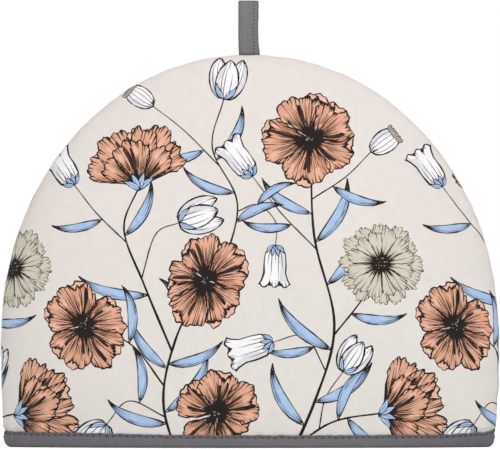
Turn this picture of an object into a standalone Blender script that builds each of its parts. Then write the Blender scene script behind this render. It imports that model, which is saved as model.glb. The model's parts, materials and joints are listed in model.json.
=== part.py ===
"""Padded tea cosy that stands open on its bound hem.

Two dome-shaped padded panels are sewn to each other round the arch, a folded
strip binds the open hem, and a folded tape makes a hanging loop at the top.

Frame: metres, +Z up, +X along the long side, the front panel on the -Y side.
The origin is at the middle of the base, on the surface the hem rests on.
"""
import math

import bmesh
import bpy

MM = 0.001

# ---- silhouette of the panels -------------------------------------------
HALF_WIDTH = 170.0 * MM      # half width at the widest height
WIDEST_Z = 65.1 * MM         # height of the widest place
DOME_RISE = 201.5 * MM       # from the widest place to the top of the arch
ARCH_POWER = 2.11            # 2 is an ellipse, more is squarer
HEM_TUCK = 2.5 * MM          # how far the sides draw in at the hem

# ---- depth --------------------------------------------------------------
HALF_DEPTH = 51.0 * MM       # outside, at the middle of the hem
DEPTH_POWER = 1.5            # how full the sides are
SPREAD_SIDE = 2.2            # profile power towards the sides
SPREAD_TOP = 1.72            # profile power towards the top
ROLL = 3.0 * MM              # depth of the rolled edge beside the seam
SEAM_SINK = 2.0 * MM         # how far the seam lies below the roll
SEAM_HALF_GAP = 0.15 * MM    # half of the gap between the two panels

# ---- wall ---------------------------------------------------------------
WALL_MIDDLE = 5.5 * MM       # padded wall in the middle of a panel
WALL_EDGE = 4.6 * MM         # from the roll to the inside of the seam
HEM_SQUEEZE = 1.6 * MM       # how far the binding presses the outside in
HUB_Z = 18.0 * MM            # the surface grid fans out from here

# ---- hem binding --------------------------------------------------------
BOTTOM_GAP = 1.45 * MM       # underside of the panels above the surface
TAPE = 1.1 * MM              # one leg of the binding
FIT = 0.32 * MM              # gap between the binding and the panels
NOSE_SINK = 0.5 * MM         # the binding dips a little at the side seams
CORNER = 5.5 * MM            # radius of the hem's rounded ends
CORNER_EASE = 1.25           # the panels draw up a little more than the binding

# Height of the binding's upper edge, from the left end to the right end.
BINDING_EDGE = (
    # x, height of the upper edge
    (-168.0 * MM, 10.8 * MM),
    (-130.0 * MM, 10.2 * MM),
    (-34.0 * MM, 8.7 * MM),
    (35.0 * MM, 8.6 * MM),
    (130.0 * MM, 8.8 * MM),
    (158.0 * MM, 10.0 * MM),
    (168.0 * MM, 11.6 * MM),
)

# ---- hanging loop -------------------------------------------------------
LOOP_X = -0.5 * MM
LOOP_WIDTH = 13.8 * MM
LOOP_TAPE = 1.2 * MM
LOOP_POCKET = 1.5 * MM       # how far each seam face gives way to it
# Middle line of one side of the folded tape, from its end inside the seam
# up to the fold.
LOOP_SIDE = (
    # distance from the middle, height
    (0.75 * MM, 260.6 * MM),
    (0.75 * MM, 265.8 * MM),
    (1.00 * MM, 269.0 * MM),
    (1.90 * MM, 274.0 * MM),
    (3.10 * MM, 280.0 * MM),
    (4.10 * MM, 286.0 * MM),
    (4.60 * MM, 291.5 * MM),
    (4.45 * MM, 296.0 * MM),
    (3.60 * MM, 300.3 * MM),
    (2.00 * MM, 303.1 * MM),
)
LOOP_FOLD_Z = 303.9 * MM

# ---- grid ---------------------------------------------------------------
OUTER_STEPS = 12             # from the hub to the roll
ROLL_DEPTHS = (1.3 * MM, 0.0)    # two more rows, from the roll to the seam
INNER_STEPS = OUTER_STEPS + len(ROLL_DEPTHS)
HEM_ROWS = (0.0, 0.42, 0.60, 0.78, 1.0)   # from the bottom edge to the hub
SIDE_RAYS = 19               # evenly spread rays on each side of the loop
LOOP_RAYS = (9.9, 7.35, 3.5)     # rays at the pocket of the loop, in mm


def smooth(t):
    t = min(1.0, max(0.0, t))
    return t * t * (3.0 - 2.0 * t)


def reach(angle):
    """Distance from the middle of the hem to the silhouette."""
    c, s = abs(math.cos(angle)), math.sin(angle)
    low, high = 0.1, 0.3
    for _ in range(50):
        r = 0.5 * (low + high)
        x, z = r * c, r * s
        if z >= WIDEST_Z:
            inside = (x / HALF_WIDTH) ** ARCH_POWER + \
                ((z - WIDEST_Z) / DOME_RISE) ** ARCH_POWER < 1.0
        else:
            inside = x < HALF_WIDTH - HEM_TUCK * ((WIDEST_Z - z) / WIDEST_Z) ** 2
        if inside:
            low = r
        else:
            high = r
    return 0.5 * (low + high)


def spread(angle):
    s = math.sin(angle) ** 2
    return SPREAD_SIDE + (SPREAD_TOP - SPREAD_SIDE) * s


def squeeze(x, z):
    """How far the binding presses the outside of a panel in."""
    top = binding_edge(x)
    return HEM_SQUEEZE * (1.0 - smooth((z - (top - 0.5 * MM)) / (6.0 * MM)))


def binding_edge(x):
    rows = BINDING_EDGE
    if x <= rows[0][0]:
        return rows[0][1]
    for (x0, h0), (x1, h1) in zip(rows, rows[1:]):
        if x <= x1:
            return h0 + (h1 - h0) * smooth((x - x0) / (x1 - x0))
    return rows[-1][1]


def lift(x):
    """Rounded ends of the hem."""
    run = abs(x) - (HALF_WIDTH - HEM_TUCK - CORNER)
    if run <= 0.0:
        return 0.0
    run = min(run, CORNER * 0.995)
    return CORNER - math.sqrt(CORNER ** 2 - run ** 2)


def depth_at(x, z, side_inset, depth_inset, roll):
    """Half depth of a pillow surface over the point (x, z)."""
    angle = math.atan2(z, x)
    rho = min(1.0, math.hypot(x, z) / (reach(angle) - side_inset))
    full = HALF_DEPTH - depth_inset - roll
    return roll + full * (1.0 - rho ** spread(angle)) ** (1.0 / DEPTH_POWER)


def edge_x(z, side_inset):
    """Half width at height z of a silhouette inset by side_inset."""
    angle = 0.0
    for _ in range(30):
        angle = math.asin(min(1.0, z / (reach(angle) - side_inset)))
    return (reach(angle) - side_inset) * math.cos(angle)


def seam_depth(x, z):
    """Half depth of a panel's seam face, with the pocket for the loop."""
    if z < HALF_WIDTH:
        return SEAM_HALF_GAP
    off = abs(x - LOOP_X) - (LOOP_WIDTH / 2 + 0.4 * MM)
    return SEAM_HALF_GAP + LOOP_POCKET * (1.0 - smooth(off / (2.5 * MM)))


def outer_point(x, z):
    e = squeeze(x, z)
    return x, depth_at(x, z, e, e, ROLL), z


def inner_point(x, z):
    d = depth_at(x, z, WALL_EDGE, WALL_MIDDLE, 0.0)
    return x, max(d, seam_depth(x, z)), z


def roll_point(x, z, depth):
    """Point on the rolled edge beside the seam, level with (x, z)."""
    angle = math.atan2(z, x)
    e = squeeze(x, z)
    d = max(depth, seam_depth(x, z))
    r = reach(angle) - e - SEAM_SINK * (1.0 - d / ROLL) ** 2
    return r * math.cos(angle), d, r * math.sin(angle)


def ray_points(angle, inner):
    """Points from the hub to the seam along one ray of the fan."""
    far = reach_from_hub(angle)
    if inner:
        a = math.atan2(far[1], far[0])
        k = 1.0 - WALL_EDGE / reach(a)
        far = (far[0] * k, far[1] * k)
    steps = INNER_STEPS if inner else OUTER_STEPS
    points = []
    for i in range(1, steps + 1):
        t = math.sin(math.pi / 2 * i / steps)
        x = far[0] * t
        z = HUB_Z + (far[1] - HUB_Z) * t
        points.append(inner_point(x, z) if inner else outer_point(x, z))
    if not inner:
        points += [roll_point(far[0], far[1], d) for d in ROLL_DEPTHS]
    return points


def reach_from_hub(angle):
    """Where a ray from the hub meets the silhouette."""
    c, s = math.cos(angle), math.sin(angle)
    low, high = 0.1, 0.3
    for _ in range(50):
        r = 0.5 * (low + high)
        x, z = r * c, HUB_Z + r * s
        if math.hypot(x, z) < reach(math.atan2(z, x)):
            low = r
        else:
            high = r
    return r * c, HUB_Z + r * s


def row_points(fraction, inner):
    """Points of one row of the hem, from the left seam to the right seam."""
    steps = INNER_STEPS if inner else OUTER_STEPS
    points = []
    for side in (-1, 1):
        half = []
        for i in range(1, steps + 1):
            t = math.sin(math.pi / 2 * i / steps)
            z = BOTTOM_GAP + fraction * (HUB_Z - BOTTOM_GAP)
            for _ in range(3):
                inset = WALL_EDGE if inner else squeeze(side * HALF_WIDTH * t, z)
                x = side * t * edge_x(z, inset)
                low = BOTTOM_GAP + CORNER_EASE * lift(x)
                z = low + fraction * (HUB_Z - low)
            half.append(inner_point(x, z) if inner else
                        (x, depth_at(x, z, inset, inset, ROLL), z))
            last = (x, z, inset)
        if not inner:
            x, z, inset = last
            for depth in ROLL_DEPTHS:
                d = max(depth, SEAM_HALF_GAP)
                sink = SEAM_SINK * (1.0 - d / ROLL) ** 2
                half.append((x - side * sink, d, z))
        if side < 0:
            points += half[::-1]
            z = BOTTOM_GAP + fraction * (HUB_Z - BOTTOM_GAP)
            points.append(inner_point(0.0, z) if inner else outer_point(0.0, z))
        else:
            points += half
    return points


def fan_angles():
    """Ray directions from the right seam over the top to the left seam."""
    top = WIDEST_Z + DOME_RISE - HUB_Z
    right = [math.atan2(top, LOOP_X + d * MM) for d in LOOP_RAYS]
    left = [math.atan2(top, LOOP_X - d * MM) for d in LOOP_RAYS]
    middle = math.atan2(top, LOOP_X)
    first, last = right[0], left[0]
    angles = [first * i / SIDE_RAYS for i in range(SIDE_RAYS)]
    angles += right + [middle] + left[::-1]
    angles += [last + (math.pi - last) * i / SIDE_RAYS
               for i in range(1, SIDE_RAYS + 1)]
    return angles


def panel_mesh(name, front):
    """One padded panel: a pillow-shaped wall, closed at the seam and hem."""
    bm = bmesh.new()
    sign = -1.0 if front else 1.0

    def vert(p):
        return bm.verts.new((p[0], sign * p[1], p[2]))

    skins = {}
    for inner in (False, True):
        rows = [[vert(p) for p in row_points(f, inner)] for f in HEM_ROWS]
        top_row = rows[-1]
        middle = len(top_row) // 2
        rays = []
        for k, angle in enumerate(fan_angles()):
            if k == 0:
                rays.append(top_row[middle + 1:])
            elif k == len(fan_angles()) - 1:
                rays.append(top_row[:middle][::-1])
            else:
                rays.append([vert(p) for p in ray_points(angle, inner)])
        skins[inner] = (rows, rays, top_row[middle])

    def face(verts, flip):
        bm.faces.new(verts[::-1] if flip else verts)

    for inner, (rows, rays, hub) in skins.items():
        flip = (inner == front)
        for low, high in zip(rows, rows[1:]):
            for i in range(len(low) - 1):
                face([low[i], low[i + 1], high[i + 1], high[i]], flip)
        for a, b in zip(rays, rays[1:]):
            face([hub, a[0], b[0]], flip)
            for i in range(len(a) - 1):
                face([a[i], a[i + 1], b[i + 1], b[i]], flip)

    (rows_out, rays_out, _), (rows_in, rays_in, _) = skins[False], skins[True]
    low_out, low_in = rows_out[0], rows_in[0]
    for i in range(len(low_out) - 1):
        face([low_out[i + 1], low_out[i], low_in[i], low_in[i + 1]], not front)
    edge_out = [r[-1] for r in rows_out[:-1]] + [r[-1] for r in rays_out] + \
        [r[0] for r in rows_out[:-1]][::-1]
    edge_in = [r[-1] for r in rows_in[:-1]] + [r[-1] for r in rays_in] + \
        [r[0] for r in rows_in[:-1]][::-1]
    for i in range(len(edge_out) - 1):
        face([edge_out[i + 1], edge_out[i], edge_in[i], edge_in[i + 1]],
             not front)
    bmesh.ops.recalc_face_normals(bm, faces=bm.faces)
    mesh = bpy.data.meshes.new(name)
    bm.to_mesh(mesh)
    bm.free()
    return mesh


def binding_stations():
    """Stations round the hem: side (-1 or 1), front or back, and the index."""
    last = INNER_STEPS
    ring = [(-1, -1, i) for i in range(last, 0, -1)]
    ring += [(1, -1, i) for i in range(0, last + 1)]
    ring += [(1, 1, i) for i in range(last - 1, 0, -1)]
    ring += [(-1, 1, i) for i in range(0, last)]
    return ring


def binding_point(side, face_sign, index, inset_side, inset_depth, inner,
                  height):
    """Point of the binding's section, on a copy of the hem line.

    height(x) gives the point's height above the surface at that place.
    """
    steps = INNER_STEPS if inner else OUTER_STEPS
    t = math.sin(math.pi / 2 * min(index, steps) / steps)
    x = side * t * (HALF_WIDTH - HEM_TUCK - inset_side)
    for _ in range(3):
        z = height(x)
        x = side * t * edge_x(z, inset_side)
    if index > steps:
        d = ROLL_DEPTHS[index - steps - 1]
        x -= side * NOSE_SINK * (1.0 - d / ROLL) ** 2
    elif inner and index == steps:
        d = 0.0
    else:
        d = depth_at(x, z, inset_side, inset_depth, 0.0 if inner else ROLL)
    return x, face_sign * d, z


def binding_mesh(name):
    """Folded strip round the hem, a U in section, open upwards."""

    def over_foot(rise):
        return lambda x: lift(x) + rise

    def under_top(drop):
        return lambda x: binding_edge(x) - drop

    leg_out = HEM_SQUEEZE - FIT
    side_in, depth_in = WALL_EDGE + FIT, WALL_MIDDLE + FIT
    outline = (
        # inset at the sides, inset in depth, on the inside, height
        (leg_out, leg_out, False, over_foot(BOTTOM_GAP - FIT)),
        (leg_out, leg_out, False, under_top(0.25 * MM)),
        (leg_out - 0.35 * TAPE, leg_out - 0.35 * TAPE, False, under_top(0.0)),
        (leg_out - TAPE, leg_out - TAPE, False, under_top(0.7 * MM)),
        (leg_out - TAPE, leg_out - TAPE, False, over_foot(1.5 * MM)),
        (leg_out - 0.55 * TAPE, leg_out - 0.55 * TAPE, False,
         over_foot(0.45 * MM)),
        (leg_out + 0.9 * MM, leg_out + 0.9 * MM, False, over_foot(0.0)),
        (side_in - 0.9 * MM, depth_in - 1.2 * MM, True, over_foot(0.0)),
        (side_in + 0.55 * TAPE, depth_in + 0.55 * TAPE, True,
         over_foot(0.45 * MM)),
        (side_in + TAPE, depth_in + TAPE, True, over_foot(1.5 * MM)),
        (side_in + TAPE, depth_in + TAPE, True, under_top(1.3 * MM)),
        (side_in + 0.35 * TAPE, depth_in + 0.35 * TAPE, True,
         under_top(0.6 * MM)),
        (side_in, depth_in, True, under_top(0.85 * MM)),
        (side_in, depth_in, True, over_foot(BOTTOM_GAP - FIT)),
    )
    bm = bmesh.new()
    sections = [
        [bm.verts.new(binding_point(side, sign, index, e_side, e_depth, inner,
                                    height))
         for e_side, e_depth, inner, height in outline]
        for side, sign, index in binding_stations()]
    count = len(outline)
    for k, a in enumerate(sections):
        b = sections[(k + 1) % len(sections)]
        for i in range(count):
            j = (i + 1) % count
            bm.faces.new((a[i], b[i], b[j], a[j]))
    bmesh.ops.recalc_face_normals(bm, faces=bm.faces)
    mesh = bpy.data.meshes.new(name)
    bm.to_mesh(mesh)
    bm.free()
    return mesh


def offset_line(line, distance):
    """The line moved sideways by distance, to its left."""
    result = []
    for i, p in enumerate(line):
        a = line[max(i - 1, 0)]
        b = line[min(i + 1, len(line) - 1)]
        dx, dz = b[0] - a[0], b[1] - a[1]
        n = math.hypot(dx, dz)
        result.append((p[0] - dz / n * distance, p[1] + dx / n * distance))
    return result


def loop_mesh(name):
    """Tape folded over at the top, its two ends side by side in the seam."""
    line = [(-y, z) for y, z in LOOP_SIDE] + [(0.0, LOOP_FOLD_Z)]
    line += [(y, z) for y, z in LOOP_SIDE[::-1]]
    outline = offset_line(line, LOOP_TAPE / 2) + \
        offset_line(line, -LOOP_TAPE / 2)[::-1]
    bm = bmesh.new()
    x0 = LOOP_X - LOOP_WIDTH / 2
    base = bm.faces.new([bm.verts.new((x0, y, z)) for y, z in outline])
    moved = bmesh.ops.extrude_face_region(bm, geom=[base])
    verts = [v for v in moved["geom"] if isinstance(v, bmesh.types.BMVert)]
    bmesh.ops.translate(bm, verts=verts, vec=(LOOP_WIDTH, 0.0, 0.0))
    bmesh.ops.recalc_face_normals(bm, faces=bm.faces)
    mesh = bpy.data.meshes.new(name)
    bm.to_mesh(mesh)
    bm.free()
    return mesh


def fabric(name, colour, roughness):
    material = bpy.data.materials.new(name)
    material.use_nodes = True
    shader = material.node_tree.nodes["Principled BSDF"]
    shader.inputs["Base Color"].default_value = (*colour, 1.0)
    shader.inputs["Roughness"].default_value = roughness
    shader.inputs["Metallic"].default_value = 0.0
    material.diffuse_color = (*colour, 1.0)
    return material


def add(collection, mesh, material):
    mesh.materials.append(material)
    mesh.shade_smooth()
    mesh.set_sharp_from_angle(angle=math.radians(40))
    obj = bpy.data.objects.new(mesh.name, mesh)
    collection.objects.link(obj)
    return obj


def main():
    for obj in list(bpy.data.objects):
        bpy.data.objects.remove(obj, do_unlink=True)
    collection = bpy.data.collections.new("tea_cosy")
    bpy.context.scene.collection.children.link(collection)

    print_cloth = fabric("printed_cloth", (0.80, 0.73, 0.68), 0.85)
    binding_cloth = fabric("binding_cloth", (0.155, 0.15, 0.165), 0.8)
    loop_cloth = fabric("loop_tape", (0.20, 0.19, 0.20), 0.8)

    add(collection, panel_mesh("front_panel", True), print_cloth)
    add(collection, panel_mesh("back_panel", False), print_cloth)
    add(collection, binding_mesh("binding"), binding_cloth)
    add(collection, loop_mesh("hanging_loop"), loop_cloth)


main()
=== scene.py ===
"""Looks of the padded tea cosy: printed cloth, grey hem binding, tape loop.

Lengths are in millimetres in the shape functions, and become metres when a
mesh is made.
"""
import json
import math
import random

import bpy
import numpy as np
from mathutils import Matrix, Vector
from mathutils.geometry import delaunay_2d_cdt

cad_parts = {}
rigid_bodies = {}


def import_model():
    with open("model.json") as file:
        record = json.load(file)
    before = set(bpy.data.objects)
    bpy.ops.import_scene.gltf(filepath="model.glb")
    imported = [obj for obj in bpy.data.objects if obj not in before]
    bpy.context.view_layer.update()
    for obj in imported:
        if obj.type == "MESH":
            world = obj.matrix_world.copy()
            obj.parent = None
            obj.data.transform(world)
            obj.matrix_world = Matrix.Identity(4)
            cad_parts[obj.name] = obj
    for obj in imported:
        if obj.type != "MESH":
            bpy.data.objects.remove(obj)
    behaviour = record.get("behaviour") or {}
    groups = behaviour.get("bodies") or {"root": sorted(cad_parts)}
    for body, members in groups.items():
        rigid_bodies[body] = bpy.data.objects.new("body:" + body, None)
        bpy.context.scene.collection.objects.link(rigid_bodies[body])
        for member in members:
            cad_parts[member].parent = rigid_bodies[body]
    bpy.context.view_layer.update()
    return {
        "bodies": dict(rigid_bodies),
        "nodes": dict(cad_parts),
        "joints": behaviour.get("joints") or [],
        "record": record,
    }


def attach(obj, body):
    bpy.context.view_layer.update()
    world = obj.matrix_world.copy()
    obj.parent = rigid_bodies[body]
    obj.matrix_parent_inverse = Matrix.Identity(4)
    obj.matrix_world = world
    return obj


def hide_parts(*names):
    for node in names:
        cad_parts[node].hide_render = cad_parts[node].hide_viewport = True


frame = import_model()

# --------------------------------------------------------------------------
# The cosy's shape, with the CAD part's own sizes.
# --------------------------------------------------------------------------
HALF_WIDTH, WIDEST_Z, DOME_RISE = 170.0, 65.1, 201.5
ARCH_POWER, HEM_TUCK = 2.11, 2.5
HALF_DEPTH, DEPTH_POWER = 51.0, 1.5
SPREAD_SIDE, SPREAD_TOP = 2.2, 1.72
ROLL, SEAM_SINK, SEAM_GAP = 3.0, 2.0, 0.15
WALL_MIDDLE, WALL_EDGE = 5.5, 4.6
HEM_SQUEEZE, BOTTOM_GAP, CORNER = 1.6, 1.45, 5.5
LOOP_X, LOOP_WIDTH = -0.5, 13.8
BINDING_EDGE = (
    # x, height of the binding's upper edge
    (-168.0, 10.8), (-130.0, 10.2), (-34.0, 8.7), (35.0, 8.6),
    (130.0, 8.8), (158.0, 10.0), (168.0, 11.6),
)


def smooth(t):
    t = np.clip(t, 0.0, 1.0)
    return t * t * (3.0 - 2.0 * t)


def binding_edge(x):
    x = np.asarray(x, float)
    xs, hs = np.array(BINDING_EDGE).T
    i = np.clip(np.searchsorted(xs, x) - 1, 0, len(xs) - 2)
    return hs[i] + (hs[i + 1] - hs[i]) * smooth((x - xs[i]) / (xs[i + 1] - xs[i]))


def lift(x):
    run = np.clip(np.abs(x) - (HALF_WIDTH - HEM_TUCK - CORNER), 0, CORNER * .995)
    return CORNER - np.sqrt(CORNER ** 2 - run ** 2)


def _reach(angle):
    c, s = np.abs(np.cos(angle)), np.sin(angle)
    low, high = np.full_like(c, 100.0), np.full_like(c, 300.0)
    for _ in range(45):
        r = 0.5 * (low + high)
        x, z = r * c, r * s
        up = (x / HALF_WIDTH) ** ARCH_POWER + \
            (np.maximum(z - WIDEST_Z, 0) / DOME_RISE) ** ARCH_POWER < 1
        side = x < HALF_WIDTH - HEM_TUCK * (
            np.maximum(WIDEST_Z - z, 0) / WIDEST_Z) ** 2
        inside = np.where(z >= WIDEST_Z, up, side)
        low, high = np.where(inside, r, low), np.where(inside, high, r)
    return 0.5 * (low + high)


ANGLES = np.linspace(0, math.pi / 2, 1801)
REACH = _reach(ANGLES)


def fold_angle(angle):
    """Angle from the nearer end of the hem, from 0 to a right angle."""
    angle = np.clip(angle, 0, math.pi)
    return np.where(angle > math.pi / 2, math.pi - angle, angle)


def reach(angle):
    return np.interp(fold_angle(angle), ANGLES, REACH)


def spread(angle):
    return SPREAD_SIDE + (SPREAD_TOP - SPREAD_SIDE) * np.sin(angle) ** 2


def _flat_tables(rays=301, steps=1501):
    """Each ray's profile by its length along the cloth."""
    angles = np.linspace(0, math.pi / 2, rays)
    total, along, deep = [], [], []
    phi = np.linspace(0, math.pi / 2, 700)
    for a in angles:
        r = float(reach(a))
        rho = np.sin(phi)
        q = r * rho
        d = ROLL + (HALF_DEPTH - ROLL) * np.maximum(
            0, 1 - rho ** float(spread(a))) ** (1 / DEPTH_POWER)
        dd = np.linspace(ROLL, SEAM_GAP, 40)[1:]
        q = np.concatenate([q, r - SEAM_SINK * (1 - dd / ROLL) ** 2])
        d = np.concatenate([d, dd])
        s = np.concatenate([[0], np.cumsum(np.hypot(np.diff(q), np.diff(d)))])
        k = np.linspace(0, s[-1], steps)
        total.append(s[-1])
        along.append(np.interp(k, s, q))
        deep.append(np.interp(k, s, d))
    return angles, np.array(total), np.array(along), np.array(deep)


FLAT_ANGLES, FLAT_REACH, FLAT_Q, FLAT_D = _flat_tables()


def flat_reach(angle):
    """Length of the cloth from the middle of the hem to the seam."""
    return np.interp(fold_angle(angle), FLAT_ANGLES, FLAT_REACH)


def pillow(u, v):
    """The outer surface over the point (u, v) of the flat cut cloth.

    Returns x, depth and z.
    """
    angle = np.arctan2(np.maximum(v, 1e-6), u)
    r = np.hypot(u, v)
    k = np.minimum(r / flat_reach(angle), 1.0) * (FLAT_Q.shape[1] - 1)
    j = np.minimum(k.astype(int), FLAT_Q.shape[1] - 2)
    f = k - j
    a = fold_angle(angle) / (math.pi / 2) * (len(FLAT_ANGLES) - 1)
    i = np.minimum(a.astype(int), len(FLAT_ANGLES) - 2)
    g = a - i

    def read(table):
        return ((table[i, j] * (1 - f) + table[i, j + 1] * f) * (1 - g)
                + (table[i + 1, j] * (1 - f) + table[i + 1, j + 1] * f) * g)

    q, d = read(FLAT_Q), read(FLAT_D)
    return q * np.cos(angle), d, q * np.sin(angle)


def squeeze(x, z):
    """How far the binding presses the outside of a panel in."""
    wide = 4.0 + 22.0 * (1 - smooth((np.abs(x) - 128.0) / 32.0))
    return HEM_SQUEEZE * (1 - smooth((z - (binding_edge(x) - 0.3)) / wide))


# The two sides aren't quite alike: how far each leans towards +X, in mm.
LEAN = {
    -1: ((14, 0), (32, 1.0), (52, 0.9), (78, 0.5), (105, 0.1), (150, 0.1),
         (172, 0.6), (190, 0.8), (204, 1.6), (228, 1.5), (243, 1.3),
         (255, 0.6), (270, 0)),
    1: ((14, 0), (30, 0.1), (60, 0.35), (90, 0.6), (115, 1.0), (145, 1.3),
        (165, 1.1), (185, 0.55), (205, 0), (230, -0.3), (250, 0), (270, 0)),
}


def _lean_curve(table):
    z = np.arange(-30.0, 300.0)
    heights, moves = np.array(table).T
    bell = np.exp(-(np.arange(-18, 19) / 7.0) ** 2)
    return z, np.convolve(np.interp(z, heights, moves), bell / bell.sum(),
                          "same")


LEANS = {side: _lean_curve(table) for side, table in LEAN.items()}


def lean(x, z):
    far = np.hypot(x, z) / reach(np.arctan2(np.maximum(z, 1e-6), x))
    part = smooth((far - 0.45) / 0.5) * smooth(np.abs(x) / 45.0) \
        * smooth((z - 13.0) / 14.0)
    return part * np.where(x < 0, np.interp(z, *LEANS[-1]),
                           np.interp(z, *LEANS[1]))


def soft_waves(seed):
    """Gentle unevenness of padded cloth, in mm along the normal."""
    rng = random.Random(seed)
    broad = [(rng.uniform(0.018, 0.040), rng.uniform(0, 6.28),
              rng.uniform(0, 6.28), rng.uniform(0.16, 0.34)) for _ in range(7)]
    edge = [(rng.uniform(0.14, 0.42), rng.uniform(0, 6.28),
             rng.uniform(0.05, 0.12)) for _ in range(6)]
    hem = [(rng.uniform(0.22, 0.62), rng.uniform(0, 6.28),
            rng.uniform(0.04, 0.10)) for _ in range(6)]

    def height(u, v, x, z):
        h = 0.0
        for k, turn, phase, size in broad:
            h = h + size * np.sin(k * (u * math.cos(turn) + v * math.sin(turn))
                                  + phase + 0.6 * np.sin(0.02 * (u - v)))
        angle = np.arctan2(np.maximum(v, 1e-6), u)
        far = flat_reach(angle)
        gap = far - np.hypot(u, v)
        along = angle * far
        h = h * smooth(gap / 16.0)
        near = np.exp(-((gap - 6.5) / 9.0) ** 2)
        for k, phase, size in edge:
            h = h + near * size * np.sin(k * along + phase)
        rise = z - binding_edge(x)
        near = np.exp(-(np.maximum(rise, 0) / 9.0) ** 1.5)
        for k, phase, size in hem:
            h = h + near * size * np.sin(k * u + phase)
        # the binding holds the cloth down where it covers it
        limit = 0.12 + 0.30 * np.maximum(rise - 0.4, 0)
        return h - 0.12 * np.logaddexp(0, (h - limit) / 0.12)

    return height


def panel_surface(height, side):
    """The finished outer surface, as a function of the flat cloth.

    The back panel is made turned half round, with a side of -1.
    """

    def base(u, v):
        x, d, z = pillow(u, v)
        return np.stack([x, -d, z], -1)

    def finished(u, v):
        h = 0.35
        du = base(u + h, v) - base(u - h, v)
        v_low = np.maximum(v - h, 1e-3)
        dv = base(u, v + h) - base(u, v_low)
        n = np.cross(du, dv)
        n /= np.maximum(np.linalg.norm(n, axis=-1), 1e-9)[..., None]
        p = base(u, v)
        x, z = p[..., 0], p[..., 2]
        move = height(u, v, x, z) - squeeze(x, z)
        p = p + n * move[..., None]
        p[..., 0] += side * lean(side * x, z)
        # the crown stands a little higher than a plain arch
        p[..., 2] += 0.8 * np.exp(-(x / 46.0) ** 2) * smooth((z - 215) / 45.0)
        # room for the loop's tape between the two seams
        off = np.abs(side * x - LOOP_X) - (LOOP_WIDTH / 2 + 0.15)
        pocket = 1.3 * (1 - smooth(off / 1.6)) * (z > 200)
        p[..., 1] -= pocket * np.exp(-(np.abs(p[..., 1]) / 2.4) ** 2)
        p[..., 1] = np.minimum(p[..., 1], -SEAM_GAP)
        return p

    return finished


def normals_of(surface, u, v, h=0.3):
    du = surface(u + h, v) - surface(u - h, v)
    dv = surface(u, v + h) - surface(u, np.maximum(v - h, 1e-3))
    n = np.cross(du, dv)
    return n / np.maximum(np.linalg.norm(n, axis=-1), 1e-9)[..., None]

# --------------------------------------------------------------------------
# Settings that the comparison with the real cosy set.
# --------------------------------------------------------------------------
FRONT_OFFSET, BACK_OFFSET = 0.0, 97.0     # where each panel was cut, mm
BINDING_COLOUR = (116, 114, 120)
TAPE_COLOUR = (122, 120, 123)
WORLD, SIDE_FALL = 0.48, 0.5              # light from all round, less at
                                          # the two sides
LIGHTS = (
    # name, place, aim, size, power, colour
    ("key", (0.0, -2.45, 2.12), (0.0, 0.0, 0.14), 1.6, 44.2, (1, 1, 1)),
    ("side", (1.6, -2.0, 2.3), (0.0, 0.0, 0.14), 1.6, 11.2, (1, 1, 1)),
    ("behind", (0.0, 3.0, 1.2), (0.0, 0.0, 0.14), 1.4, 40.0, (1, 1, 1)),
)
CAMERA_LENS = 1055.0


# --------------------------------------------------------------------------
# The print: ink-outlined flowers and leaves, drawn as flat shapes in
# millimetres. Later shapes lie on top of earlier ones.
# --------------------------------------------------------------------------
(GROUND, TERRA, TERRA_LIGHT, TERRA_DEEP, BLUE, BLUE_DEEP, CREAM, CREAM_DEEP,
 WHITE, WHITE_SHADE, INK, INK_SOFT) = range(12)

TILE = 256.0                # mm, the repeat across the cloth


class Art:
    def __init__(self):
        self.shapes = []
        self.rng = random.Random(11)

    def fill(self, points, colour):
        self.shapes.append((colour, np.asarray(points, float)))

    def ribbon(self, line, half, colour=INK):
        """A band along a line, with its own half width at each point."""
        line = np.asarray(line, float)
        d = np.gradient(line, axis=0)
        d /= np.maximum(np.hypot(d[:, 0], d[:, 1]), 1e-9)[:, None]
        normal = np.stack([-d[:, 1], d[:, 0]], 1)
        half = np.maximum(half, 0.04)[:, None]
        self.fill(np.concatenate([line + normal * half,
                                  (line - normal * half)[::-1]]), colour)

    def ink(self, line, width, start=0.25, end=0.1, colour=INK):
        """A pen stroke: full in the middle, thinner towards each end."""
        t = np.linspace(0.0, 1.0, len(line))
        swell = np.minimum(1.0, start + (1 - start) * (t / 0.3) ** 0.7)
        swell *= np.minimum(1.0, end + (1 - end) * ((1 - t) / 0.45) ** 0.8)
        self.ribbon(line, 0.5 * width * swell, colour)

    def nail(self, line, width, colour=INK):
        """A stroke that is blunt and wide where it starts."""
        t = np.linspace(0.0, 1.0, len(line))
        self.ribbon(line, 0.5 * width * (1 - t) ** 0.75, colour)

    def contour(self, line, width, colour=INK):
        """An outline whose width wanders like a dip pen's."""
        rng = self.rng
        s = np.linspace(0, 1, len(line))
        w = sum(a * np.sin(6.283 * k * s + rng.uniform(0, 6.28))
                for k, a in ((rng.uniform(1, 3), 0.24),
                             (rng.uniform(4, 8), 0.22),
                             (rng.uniform(9, 15), 0.14)))
        self.ribbon(line, 0.5 * width * np.clip(1 + w, 0.45, 1.7), colour)

    def dot(self, x, y, r, colour=INK, sides=6, squash=1.0, turn=0.0):
        a = np.arange(sides) * 2 * np.pi / sides + turn
        p = np.stack([r * np.cos(a), r * squash * np.sin(a)], 1)
        c, s = math.cos(turn), math.sin(turn)
        self.fill(np.stack([x + p[:, 0] * c - p[:, 1] * s,
                            y + p[:, 0] * s + p[:, 1] * c], 1), colour)

    def blot(self, x, y, r, rough=0.25, sides=22, frame=(1.0, 0.0)):
        """A solid ink mass with a ragged edge."""
        a = np.arange(sides) * 2 * np.pi / sides
        d = r * np.array([1 + self.rng.uniform(-rough, rough) for _ in a])
        self.fill(in_frame(d * np.cos(a), d * np.sin(a), x, y, frame), INK)


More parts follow.
